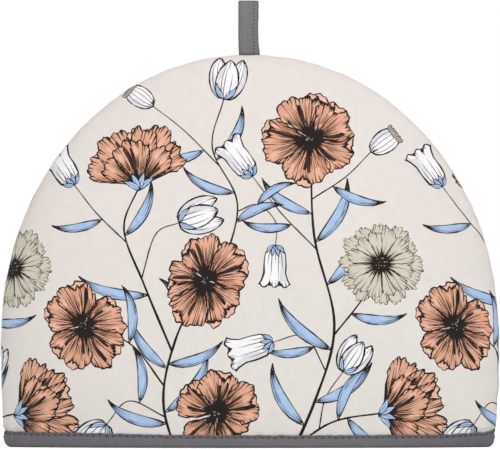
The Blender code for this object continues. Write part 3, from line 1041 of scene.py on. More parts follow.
def triangulate(points, edges, rim, eps=0.003):
    """A constrained triangulation of what lies inside the first rim edges.

    All faces are turned the same way.
    """
    made = delaunay_2d_cdt([Vector(p) for p in points.tolist()],
                           edges.tolist(), [], 0, eps, True)
    verts = np.array([tuple(v) for v in made[0]])
    tris = np.array([t for t in made[2] if len(t) == 3], np.int64)
    a, b = verts[tris[:, 1]] - verts[tris[:, 0]], verts[tris[:, 2]] - verts[tris[:, 0]]
    turn = a[:, 0] * b[:, 1] - a[:, 1] * b[:, 0]
    tris[turn < 0] = tris[turn < 0][:, ::-1]
    # spread inwards from the middle, but not across the rim
    n = len(verts)
    wall = np.array([i for i, ids in enumerate(made[4])
                     if any(k < rim for k in ids)])
    wall = np.sort(np.array(made[1], np.int64)[wall], 1)
    wall = wall[:, 0] * n + wall[:, 1]
    e = np.sort(np.concatenate([tris[:, [0, 1]], tris[:, [1, 2]],
                                tris[:, [2, 0]]]), 1)
    e = e[:, 0] * n + e[:, 1]
    face = np.tile(np.arange(len(tris)), 3)
    order = np.argsort(e, kind="stable")
    e, face = e[order], face[order]
    pair = np.flatnonzero((e[1:] == e[:-1]) & ~np.isin(e[1:], wall))
    left, right = face[pair], face[pair + 1]
    centre = verts[tris].mean(1)
    label = np.zeros(len(tris), bool)
    label[np.hypot(centre[:, 0], centre[:, 1] - 100).argmin()] = True
    while True:
        grow = label[left] != label[right]
        if not grow.any():
            break
        label[left[grow]] = True
        label[right[grow]] = True
    return verts, tris[label], made[3]


def top_colour(centre, shapes):
    """The colour of the topmost shape over each point."""
    order = np.argsort(centre[:, 0])
    xs = centre[order, 0]
    colour = np.zeros(len(centre), int)
    for shade, q in shapes:
        low, high = q.min(0), q.max(0)
        some = order[np.searchsorted(xs, low[0]):np.searchsorted(xs, high[0])]
        y = centre[some, 1]
        some = some[(y >= low[1]) & (y <= high[1])]
        if len(some):
            colour[some[inside(centre[some], q)]] = shade
    return colour


def rings_of(outlines, first=0):
    """All points of closed outlines, and the edges round each of them."""
    points, edges = [], []
    for q in outlines:
        n = len(q)
        k = np.arange(n)
        edges.append(np.stack([first + k, first + (k + 1) % n], 1))
        points.append(q)
        first += n
    return np.concatenate(points), np.concatenate(edges)


def colour_borders(verts, tris, colour, fixed):
    """The edges where two colours meet, with nearly straight runs joined.

    fixed says which points stay, apart from the ends of the runs.
    """
    e = np.concatenate([tris[:, [0, 1]], tris[:, [1, 2]], tris[:, [2, 0]]])
    shade = np.concatenate([colour] * 3)
    key = np.sort(e, 1)
    order = np.lexsort((key[:, 1], key[:, 0]))
    key, shade = key[order], shade[order]
    same = (key[1:] == key[:-1]).all(1)
    border = key[:-1][same & (shade[1:] != shade[:-1])]
    near = {}
    for a, b in border.tolist():
        near.setdefault(a, []).append(b)
        near.setdefault(b, []).append(a)
    done, runs = set(), []

    def walk(start, step):
        run = [start, step]
        done.add((start, step))
        done.add((step, start))
        while len(near[run[-1]]) == 2 and not fixed[run[-1]]:
            a, b = near[run[-1]]
            after = b if a == run[-2] else a
            if (run[-1], after) in done:
                break
            done.add((run[-1], after))
            done.add((after, run[-1]))
            run.append(after)
        return run

    ends = [v for v in near if len(near[v]) != 2 or fixed[v]]
    for v in ends + list(near):
        for w in near[v]:
            if (v, w) not in done:
                runs.append(walk(v, w))
    kept = []
    for run in runs:
        kept.append(thin(verts, run, 0.035))
    return kept


def thin(verts, run, tolerance):
    """Fewer points on a run of edges, by how far each one stands off."""
    p = verts[run]
    keep = np.zeros(len(run), bool)
    keep[[0, -1]] = True
    if run[0] == run[-1] and len(run) > 4:
        keep[len(run) // 2] = True
    shade_marks = np.flatnonzero(keep)
    stack = list(zip(shade_marks[:-1], shade_marks[1:]))
    while stack:
        i, j = stack.pop()
        if j - i < 2:
            continue
        a, d = p[i], p[j] - p[i]
        n = math.hypot(d[0], d[1])
        q = p[i + 1:j] - a
        off = np.abs(q[:, 0] * d[1] - q[:, 1] * d[0]) / n if n > 1e-9 \
            else np.hypot(q[:, 0], q[:, 1])
        k = int(off.argmax())
        if off[k] > tolerance:
            keep[i + 1 + k] = True
            stack += [(i, i + 1 + k), (i + 1 + k, j)]
    return [run[k] for k in np.flatnonzero(keep)]


def shorter(points, pairs):
    """Long edges cut into several, so that they follow the curved cloth."""
    a, b = points[pairs[:, 0]], points[pairs[:, 1]]
    ends = np.stack([a, (a + b) / 2, b])
    low = ends[..., 1].min(0)
    gap = (flat_reach(np.arctan2(np.maximum(ends[..., 1], 1e-6),
                                 ends[..., 0]))
           - np.hypot(ends[..., 0], ends[..., 1])).min(0)
    longest = np.where((low < 17) | (gap < 8), 1.5, 3.6)
    count = np.ceil(np.hypot(*(b - a).T) / longest).astype(int)
    new, kept = [], [pairs[count < 2]]
    first = len(points)
    for i in np.flatnonzero(count > 1):
        k = np.arange(1, count[i])
        new.append(a[i] + (b[i] - a[i]) * (k / count[i])[:, None])
        chain = np.concatenate([pairs[i, :1], first + k - 1, pairs[i, 1:]])
        kept.append(np.stack([chain[:-1], chain[1:]], 1))
        first += len(k)
    return np.concatenate([points] + new), np.concatenate(kept)


def cut_cloth(shapes):
    """Triangles of the flat cloth, and the colour of each one."""
    arch, hem = cut_outline()
    rim = np.concatenate([arch, hem])
    # first, all the shapes: this finds where each colour shows
    points, edges = rings_of([rim] + [q for _, q in shapes])
    verts, tris, _ = triangulate(points, edges, len(rim))
    colour = top_colour(verts[tris].mean(1), shapes)
    runs = colour_borders(verts, tris, colour, np.zeros(len(verts), bool))
    # then only the borders that show, with an even grid between them
    used = np.unique(np.concatenate([np.array(r) for r in runs]))
    new_id = np.full(len(verts), -1)
    new_id[used] = np.arange(len(used)) + len(rim)
    pairs = np.concatenate([np.stack([new_id[r[:-1]], new_id[r[1:]]], 1)
                            for r in map(np.array, runs)])
    borders, pairs = shorter(np.concatenate([rim, verts[used]]), pairs)
    k = np.arange(len(rim))
    edges = np.concatenate([np.stack([k, (k + 1) % len(rim)], 1), pairs])
    rng = np.random.default_rng(5)
    step = 3.1
    gu, gv = np.meshgrid(np.arange(-183, 184, step), np.arange(2, 279, step))
    grid = np.stack([gu.ravel(), gv.ravel()], 1)
    grid[:, 0] += step / 2 * (np.round(grid[:, 1] / step) % 2)
    grid += rng.uniform(-0.3, 0.3, grid.shape)
    # closer rows at the rolled edge and at the hem
    extra = []
    a = np.linspace(0.02, math.pi - 0.02, 420)
    for gap in (0.7, 1.5, 2.4, 3.6, 5.2):
        r = flat_reach(a) - gap
        extra.append(np.stack([r * np.cos(a), r * np.sin(a)], 1))
    u = np.linspace(-176, 176, 240)
    for rise in (4.5, 7.0, 8.6, 10.0, 11.4, 13.0, 15.0):
        extra.append(np.stack([u + 0.3 * rise, np.full_like(u, rise)], 1))
    extra = np.concatenate(extra)
    angle = np.arctan2(grid[:, 1], grid[:, 0])
    gap = flat_reach(angle) - np.hypot(grid[:, 0], grid[:, 1])
    grid = grid[(gap > 6.2) & (grid[:, 1] > 16)]
    extra = extra[(extra[:, 1] > hem_line(extra[:, 0]) + 1.2)
                  & (flat_reach(np.arctan2(extra[:, 1], extra[:, 0]))
                     - np.hypot(extra[:, 0], extra[:, 1]) > 0.5)]
    verts, tris, _ = triangulate(
        np.concatenate([borders, grid, extra]), edges, len(rim))
    colour = top_colour(verts[tris].mean(1), shapes)
    used, inverse = np.unique(tris, return_inverse=True)
    return verts[used], inverse.reshape(-1, 3), colour


def rim_loop(tris):
    """The boundary of a triangulated disc, as one ring of vertices."""
    e = np.concatenate([tris[:, [0, 1]], tris[:, [1, 2]], tris[:, [2, 0]]])
    key = np.sort(e, 1)
    _, index, count = np.unique(key, axis=0, return_index=True,
                                return_counts=True)
    after = {int(a): int(b) for a, b in e[index[count == 1]]}
    start = min(after)
    ring, at = [start], after[start]
    while at != start:
        ring.append(at)
        at = after[at]
        if len(ring) > len(after):
            raise RuntimeError("the panel's edge is not one ring")
    if len(ring) != len(after):
        raise RuntimeError("the panel's edge has more than one ring")
    return np.array(ring)


def inner_surface(x, z):
    """Inside of a panel over the point (x, z)."""
    angle = np.arctan2(np.maximum(z, 1e-6), x)
    rho = np.minimum(1, np.hypot(x, z) / (reach(angle) - WALL_EDGE))
    d = (HALF_DEPTH - WALL_MIDDLE) * np.maximum(
        0, 1 - rho ** spread(angle)) ** (1 / DEPTH_POWER)
    d = np.maximum(d, SEAM_GAP)
    # wide enough for the loop with the panel either way round
    off = np.abs(x) - (LOOP_WIDTH / 2 + abs(LOOP_X) + 0.15)
    pocket = 1.3 * (1 - smooth(off / 1.6)) * (z > 200)
    d = d + pocket * np.exp(-(d / 2.4) ** 2)
    return np.stack([x, -d, z], -1)


def inner_corner():
    """The angle at which the inside of the arch meets the hem."""
    a = np.linspace(0.004, 0.06, 600)
    r = reach(a) - WALL_EDGE
    above = r * np.sin(a) - BOTTOM_GAP - 1.25 * lift(r * np.cos(a))
    return float(np.interp(0, above, a))


def inner_cloth(rim_flat):
    """The inside of a panel, with one edge point for each outer one.

    Returns the points over (x, z), and the triangles; the edge comes first.
    """
    u, v = rim_flat.T
    angle = np.arctan2(v, u)
    on_arch = flat_reach(angle) - np.hypot(u, v) < 0.02
    # the arch's ends come down to the inside's own corners
    corner = inner_corner()
    turned = fold_angle(angle)
    first = turned[on_arch].min()
    turned = turned + (corner - first) * (1 - smooth((turned - first) / 0.12))
    a = np.where(u < 0, math.pi - turned, turned)
    r = reach(a) - WALL_EDGE
    x, z = r * np.cos(a), r * np.sin(a)
    last = float((reach(np.array(corner)) - WALL_EDGE) * math.cos(corner))
    end = np.abs(u[on_arch & (turned < corner + 1e-9)]).max()
    table = np.linspace(0, end, 500)
    xs = np.maximum.accumulate(pillow(table, np.full(500, 1.0))[0]) \
        + 0.03 * table
    hx = np.sign(u) * np.interp(np.abs(u), table, xs) * last / xs[-1]
    hz = BOTTOM_GAP + 1.25 * lift(hx)
    x, z = np.where(on_arch, x, hx), np.where(on_arch, z, hz)
    rim = np.stack([x, z], 1)
    gx, gz = np.meshgrid(np.arange(-166, 167, 6.0), np.arange(5, 266, 6.0))
    grid = np.stack([gx.ravel(), gz.ravel()], 1)
    grid[:, 0] += 3.0 * (np.round(grid[:, 1] / 6.0) % 2)
    a = np.linspace(0.03, math.pi - 0.03, 200)
    rings = [np.stack([(reach(a) - WALL_EDGE - g) * np.cos(a),
                       (reach(a) - WALL_EDGE - g) * np.sin(a)], 1)
             for g in (0.8, 2.0, 3.8)]
    gap = reach(np.arctan2(grid[:, 1], grid[:, 0])) - WALL_EDGE \
        - np.hypot(grid[:, 0], grid[:, 1])
    grid = np.concatenate([grid[gap > 6.5]] + rings)
    grid = grid[grid[:, 1] > BOTTOM_GAP + 1.25 * lift(grid[:, 0]) + 1.5]
    n = len(rim)
    k = np.arange(n)
    verts, tris, origin = triangulate(np.concatenate([rim, grid]),
                                      np.stack([k, (k + 1) % n], 1), n, 1e-7)
    came = {old: new for new, olds in enumerate(origin) for old in olds}
    edge = np.array([came[i] for i in range(n)])
    if len(set(edge.tolist())) != n or len(verts) != n + len(grid):
        raise RuntimeError("the inside edge lost or gained a point")
    return verts, tris[:, ::-1], edge


def new_mesh(name, verts, faces, loop_normals=None):
    """A mesh in metres from arrays in millimetres; faces are arrays of ids."""
    mesh = bpy.data.meshes.new(name)
    sizes = np.concatenate([np.full(len(f), f.shape[1]) for f in faces])
    ids = np.concatenate([f.ravel() for f in faces]).astype(np.int32)
    mesh.vertices.add(len(verts))
    mesh.vertices.foreach_set("co", (verts * 0.001).astype(np.float32).ravel())
    mesh.loops.add(len(ids))
    mesh.loops.foreach_set("vertex_index", ids)
    mesh.polygons.add(len(sizes))
    start = np.concatenate([[0], np.cumsum(sizes)[:-1]]).astype(np.int32)
    mesh.polygons.foreach_set("loop_start", start)
    mesh.update(calc_edges=True)
    mesh.polygons.foreach_set("use_smooth", np.ones(len(sizes), bool))
    if mesh.validate(verbose=False):
        print(name, "needed mending")
    if loop_normals is not None:
        mesh.normals_split_custom_set(loop_normals.astype(np.float32))
    return mesh


def corner_data(mesh, name, values, kind):
    layer = mesh.attributes.new(name, kind, "CORNER")
    key = "color" if kind == "FLOAT_COLOR" else "vector"
    layer.data.foreach_set(key, np.ascontiguousarray(values, np.float32).ravel())


def panel(name, shapes, offset, front, seed):
    shown = shown_shapes(shapes, offset)
    flat, tris, colour = cut_cloth(shown)
    surface = panel_surface(soft_waves(seed), 1 if front else -1)
    outer = surface(flat[:, 0], flat[:, 1])
    n_out = normals_of(surface, flat[:, 0], flat[:, 1])
    ring = rim_loop(tris)
    inner_xz, inner_tris, edge = inner_cloth(flat[ring])
    inner = inner_surface(inner_xz[:, 0], inner_xz[:, 1])
    h = 0.4
    ix, iz = inner_xz.T
    n_in = -np.cross(inner_surface(ix + h, iz) - inner_surface(ix - h, iz),
                     inner_surface(ix, iz + h)
                     - inner_surface(ix, np.maximum(iz - h, 0.01)))
    n_in /= np.maximum(np.linalg.norm(n_in, axis=1), 1e-9)[:, None]
    first = len(outer)
    verts = np.concatenate([outer, inner])
    a, b = ring, np.roll(ring, -1)
    c, d = edge + first, np.roll(edge, -1) + first
    strip = np.stack([b, a, c, d], 1)
    # corner normals
    strip_n = np.cross(verts[a] - verts[b], verts[c] - verts[b])
    strip_n /= np.maximum(np.linalg.norm(strip_n, axis=1), 1e-9)[:, None]
    normals = np.concatenate([n_out[tris.ravel()], n_in[inner_tris.ravel()],
                              np.repeat(strip_n, 4, axis=0)])
    faces = [tris, inner_tris + first, strip]
    if not front:
        verts = verts * [-1, -1, 1]
        normals = normals * [-1, -1, 1]
    mesh = new_mesh(name, verts, faces, normals)
    # colours: the print outside, the bare cloth inside
    table = np.array([np.append(PALETTE[k], 1.0) for k in range(12)])
    rows = np.concatenate([np.repeat(colour, 3),
                           np.full(inner_tris.size + strip.size, GROUND)])
    corner_data(mesh, "print", table[rows], "FLOAT_COLOR")
    # where each corner lies on the flat cloth, in mm
    inner_flat = inner_xz * [1.07, 1.03]
    on_flat = np.concatenate([flat[tris.ravel()], inner_flat[inner_tris.ravel()],
                              flat[np.stack([b, a, a, b], 1).ravel()]])
    on_flat = np.concatenate([on_flat, np.zeros((len(on_flat), 1))], 1)
    if not front:
        on_flat[:, 0] += 400
    corner_data(mesh, "flat", on_flat, "FLOAT_VECTOR")
    # one map that holds the outside large and the inside in a band above it
    s = 0.98 / 2 / 184.0
    out_uv = np.stack([0.5 + flat[:, 0] * s, 0.01 + flat[:, 1] * s], 1)
    in_uv = np.stack([0.5 + ix * s, 0.765 + iz * 0.215 / 266.0], 1)
    k = np.arange(len(ring))
    left, right = 0.01 + 0.98 * k / len(ring), 0.01 + 0.98 * (k + 1) / len(ring)
    low, high = np.full(len(ring), 0.984), np.full(len(ring), 0.998)
    strip_uv = np.stack([np.stack([right, low], 1), np.stack([left, low], 1),
                         np.stack([left, high], 1), np.stack([right, high], 1)],
                        1).reshape(-1, 2)
    uv = np.concatenate([out_uv[tris.ravel()], in_uv[inner_tris.ravel()],
                         strip_uv])
    layer = mesh.uv_layers.new(name="OFBake")
    layer.uv.foreach_set("vector", uv.astype(np.float32).ravel())
    obj = bpy.data.objects.new(name, mesh)
    bpy.context.scene.collection.objects.link(obj)
    print(name, len(shown), "shapes", len(tris), "outer and",
          len(inner_tris) + 2 * len(strip), "other triangles")
    return obj


# --------------------------------------------------------------------------
# Hem binding: a folded strip, a U in section, sewn through near its edge.
# --------------------------------------------------------------------------
LEG_OUT = HEM_SQUEEZE - 0.32
SIDE_IN, DEPTH_IN = WALL_EDGE + 0.32, WALL_MIDDLE + 0.32
STITCH_PITCH, STITCH_DROP = 4.62, 1.75


def edge_reach(z, inset):
    angle = np.zeros_like(z)
    for _ in range(12):
        angle = np.arcsin(np.clip(z / (reach(angle) - inset), 0, 1))
    return (reach(angle) - inset) * np.cos(angle)


def hem_path(f, inset_side, inset_depth, inner, height):
    """Points round one half of the ring, at fractions f of its length.

    The half runs along the front, from the left side seam to the right one.
    """
    k = np.linspace(-1, 1, 2401)
    turn = np.clip(k / 0.985, -1, 1)
    t = np.sin(turn * math.pi / 2)
    x = t * (HALF_WIDTH - HEM_TUCK - inset_side)
    for _ in range(4):
        z = height(x)
        x = t * edge_reach(z, inset_side)
    roll = 0.0 if inner else ROLL
    rho = np.minimum(1, np.hypot(x, z) / (reach(np.arctan2(z, x)) - inset_side))
    d = roll + (HALF_DEPTH - inset_depth - roll) * np.maximum(
        0, 1 - rho ** spread(np.arctan2(z, x))) ** (1 / DEPTH_POWER)
    past = np.clip((np.abs(k) - 0.985) / 0.015, 0, 1)
    if not inner:
        d = np.where(past > 0, ROLL * (1 - past), d)
        x = x - np.sign(k) * 0.5 * past ** 2
    line = np.stack([x, -d], 1)
    s = np.concatenate([[0], np.cumsum(np.hypot(*np.diff(line, axis=0).T))])
    x = np.interp(f * s[-1], s, x)
    d = np.interp(f * s[-1], s, d)
    return np.stack([x, -d, height(x)], 1), s[-1]


def ripple(seed, size, low, high, count=6):
    rng = random.Random(seed)
    waves = [(round(rng.uniform(low, high)), rng.uniform(0, 6.28),
              rng.uniform(0.5, 1.0)) for _ in range(count)]
    return lambda p: size / count ** 0.5 * sum(
        a * np.sin(2 * math.pi * k * p + ph) for k, ph, a in waves)


def binding_ring():
    """The binding and its two rows of stitches."""
    half = 400
    f = np.arange(half) / half
    whole = np.concatenate([f / 2, 0.5 + f / 2])
    edge_wave = ripple(3, 0.26, 40, 120)
    puff = ripple(8, 0.22, 60, 180)
    sag = ripple(15, 0.18, 14, 40)

    def top(drop):
        return lambda x, p: binding_edge(x) - drop + edge_wave(p)

    def foot(rise):
        return lambda x, p: lift(x) + rise

    def part(k, rise=0.0):
        """A height between the foot and the top edge."""
        return lambda x, p: (lift(x) * (1 - k) + k * (binding_edge(x)
                                                      + edge_wave(p)) + rise)

    o, s, d = LEG_OUT, SIDE_IN, DEPTH_IN
    section = (
        # inset at the sides, in depth, inner side, height, stitch dimple, puff
        (o, o, False, foot(1.13), 0, 0),
        (o, o, False, top(0.5), 0, 0),
        (o - 0.18, o - 0.18, False, top(0.08), 0, 0.3),
        (o - 0.48, o - 0.48, False, top(-0.05), 0, 0.5),
        (o - 0.80, o - 0.80, False, top(0.12), 0, 0.6),
        (o - 0.96, o - 0.96, False, top(0.48), 0.2, 0.8),
        (o - 0.98, o - 0.98, False, top(0.90), 0.7, 1),
        (o - 0.84, o - 0.84, False, top(1.32), 1.0, 1),
        (o - 0.74, o - 0.74, False, top(STITCH_DROP), 1.1, 1),
        (o - 0.84, o - 0.84, False, top(2.20), 1.0, 1),
        (o - 1.02, o - 1.02, False, top(3.10), 0.6, 1),
        (o - 1.14, o - 1.14, False, part(0.44), 0.2, 1),
        (o - 1.18, o - 1.18, False, part(0.30), 0, 1),
        (o - 1.14, o - 1.14, False, part(0.18, 0.2), 0, 0.7),
        (o - 0.98, o - 0.98, False, foot(1.15), 0, 0.4),
        (o - 0.60, o - 0.60, False, foot(0.48), 0, 0.1),
        (o + 0.05, o + 0.05, False, foot(0.12), 0, 0),
        (o + 0.90, o + 0.90, False, foot(0.0), 0, 0),
        (s - 0.90, d - 1.20, True, foot(0.0), 0, 0),
        (s + 0.10, d + 0.00, True, foot(0.14), 0, 0),
        (s + 0.70, d + 0.70, True, foot(0.55), 0, 0),
        (s + 1.00, d + 1.00, True, foot(1.4), 0, -0.3),
        (s + 1.10, d + 1.10, True, part(0.40), 0, -0.6),
        (s + 0.95, d + 0.95, True, top(3.4), -0.6, -0.6),
        (s + 0.80, d + 0.80, True, top(2.85), -0.9, -0.6),
        (s + 0.92, d + 0.92, True, top(2.2), -0.6, -0.5),
        (s + 0.90, d + 0.90, True, top(1.4), 0, -0.3),
        (s + 0.50, d + 0.50, True, top(0.8), 0, 0),
        (s + 0.00, d + 0.00, True, top(1.1), 0, 0),
        (s + 0.00, d + 0.00, True, foot(1.13), 0, 0),
    )

    def place(p, row):
        """Points at fractions p of the ring, on one line of the section."""
        side_inset, depth_inset, inner, height, dimple, soft = row
        back = p >= 0.5
        base = height
        ends = []
        for turned in (False, True):
            q = (p - 0.5) * 2 if turned else p * 2
            q = np.clip(q, 0, 1)
            sign = -1.0 if turned else 1.0
            pts, length = hem_path(q, side_inset, depth_inset, inner,
                                   lambda x: lift(x))
            h = base(pts[:, 0] * sign, p)
            flip = np.array([sign, sign, 1.0])
            pts = pts * flip
            pts[:, 2] = h
            ends.append(pts)
        pts = np.where(back[:, None], ends[1], ends[0])
        return pts, length

    # how far round each stitch lies
    _, length = place(np.array([0.0]), section[8])
    count = int(round(2 * length / STITCH_PITCH))
    seam_at = (np.arange(count) + 0.35) / count

    def outward(p, row):
        h = 0.0004
        a, _ = place((p + h) % 1.0, row)
        b, _ = place((p - h) % 1.0, row)
        along = a - b
        along[:, 2] = 0
        along /= np.maximum(np.linalg.norm(along, axis=1), 1e-9)[:, None]
        return np.stack([along[:, 1], -along[:, 0], 0 * p], 1), along

    rows = []
    rng = random.Random(21)
    strength = np.array([rng.uniform(0.8, 1.2) for _ in range(count)])
    gap = np.abs((whole[:, None] - seam_at[None] + 0.5) % 1.0 - 0.5) * 2 * length
    near = np.exp(-(gap / 1.15) ** 2) * strength[None]
    dip = near.sum(1) * 0.34
    soft_wave = puff(whole) + sag(whole)
    for row in section:
        pts, _ = place(whole, row)
        out, _ = outward(whole, row)
        pts = pts + out * (row[5] * soft_wave - row[4] * dip)[:, None]
        rows.append(pts)
    rings = np.stack(rows, 1)              # station, place in the section
    # a small overlap of the strip's ends at the right side seam
    nub = np.exp(-((whole - 0.5) * 2 * length / 1.3) ** 2)
    low, high = rings[..., 2].min(1)[:, None], rings[..., 2].max(1)[:, None]
    k = (rings[..., 2] - low) / (high - low)
    outer = np.array([not r[2] for r in section])
    rings[..., 0] += (nub[:, None] * 0.9 * np.exp(-((k - 0.94) / 0.12) ** 2)
                      * outer[None])
    rings[..., 2] += (nub[:, None] * 1.5 * np.exp(-((k - 1.0) / 0.10) ** 2)
                      * outer[None])
    n, m = rings.shape[:2]
    i, j = np.meshgrid(np.arange(n), np.arange(m), indexing="ij")
    i2, j2 = (i + 1) % n, (j + 1) % m
    quads = np.stack([i * m + j, i * m + j2, i2 * m + j2, i2 * m + j],
                     -1).reshape(-1, 4)
    verts = rings.reshape(-1, 3)
    # cloth coordinates: along the ring, and across the strip
    across = np.zeros(m)
    mid = rings[n // 4]
    across[1:] = np.cumsum(np.linalg.norm(np.diff(mid, axis=0), axis=1))
    wide = across[-1] + np.linalg.norm(mid[0] - mid[-1])
    along = whole * 2 * length
    pu = np.stack([along[i], along[i], np.where(i == n - 1, 2 * length,
                                                along[i2]),
                   np.where(i == n - 1, 2 * length, along[i2])],
                  -1).reshape(-1)
    nxt = np.where(j == m - 1, wide, across[j2])
    pv = np.stack([across[j], nxt, nxt, across[j]], -1).reshape(-1)
    mesh = new_mesh("hem_binding", verts, [quads])
    corner_data(mesh, "flat", np.stack([pu, pv, 0 * pu], 1), "FLOAT_VECTOR")
    obj = bpy.data.objects.new("hem_binding", mesh)
    bpy.context.scene.collection.objects.link(obj)

    # stitches
    tubes = []
    for row, long in ((section[8], 2.65), (section[24], 2.1)):
        at, _ = place(seam_at, row)
        out, along = outward(seam_at, row)
        sign = 1.0 if row[4] > 0 else -1.0
        at = at + out * (puff(seam_at) * row[5] + sag(seam_at) * row[5]
                         - row[4] * 0.34 + sign * 0.20)[:, None]
        for k in range(count):
            tubes.append((at[k], along[k] * rng.uniform(0.92, 1.08) * long / 2,
                          out[k] * sign,
                          Vector((0, 0, rng.uniform(-0.10, 0.10)))))
    thread = stitches("binding_stitches", tubes, 0.29)
    # the ring's length, and where the painted shade bands lie across the strip
    shade_marks = (2 * length, across[3], across[8], across[16])
    return obj, thread, 2 * length, shade_marks


def stitches(name, tubes, radius):
    """Short bowed lengths of thread; each dives in at its two ends."""
    verts, quads = [], []
    sides, steps = 6, 6
    for centre, half, out, tilt in tubes:
        half = np.asarray(half) + np.asarray(tilt)
        out = np.asarray(out)
        across = np.cross(half, out)
        across /= np.linalg.norm(across)
        base = len(verts)
        for i in range(steps + 1):
            t = -1 + 2 * i / steps
            r = radius * (0.35 if i in (0, steps) else 1.0)
            c = centre + half * t - out * (0.42 * abs(t) ** 3)
            for j in range(sides):
                a = 2 * math.pi * j / sides
                verts.append(c + (across * math.cos(a) + out * math.sin(a)) * r)
        for i in range(steps):
            for j in range(sides):
                a, b = base + i * sides + j, base + i * sides + (j + 1) % sides
                quads.append((a, b, b + sides, a + sides))
        for first, order in ((base, -1), (base + steps * sides, 1)):
            ring = [first + j for j in range(sides)][::order]
            quads.append((ring[0], ring[1], ring[2], ring[3]))
            quads.append((ring[0], ring[3], ring[4], ring[5]))
    verts = np.array([tuple(v) for v in verts])
    mesh = new_mesh(name, verts, [np.array(quads)])
    mesh.flip_normals() if signed_volume(verts, quads) < 0 else None
    obj = bpy.data.objects.new(name, mesh)
    bpy.context.scene.collection.objects.link(obj)
    return obj


def signed_volume(verts, quads):
    q = verts[np.asarray(quads)]
    return float(np.einsum("ij,ij->", q[:, 0],
                           np.cross(q[:, 1], q[:, 2]) + np.cross(q[:, 2], q[:, 3])))


# --------------------------------------------------------------------------
# Hanging loop: one folded tape with a row of stitches near its right edge.
# --------------------------------------------------------------------------
LOOP_SIDE = (
    # distance from the middle, height
    (0.75, 259.0), (0.75, 265.8), (1.00, 269.0), (1.90, 274.0), (3.10, 280.0),
    (4.10, 286.0), (4.60, 291.5), (4.45, 296.0), (3.60, 300.3), (2.00, 303.1),
)


LOOP_PITCH = 2.5


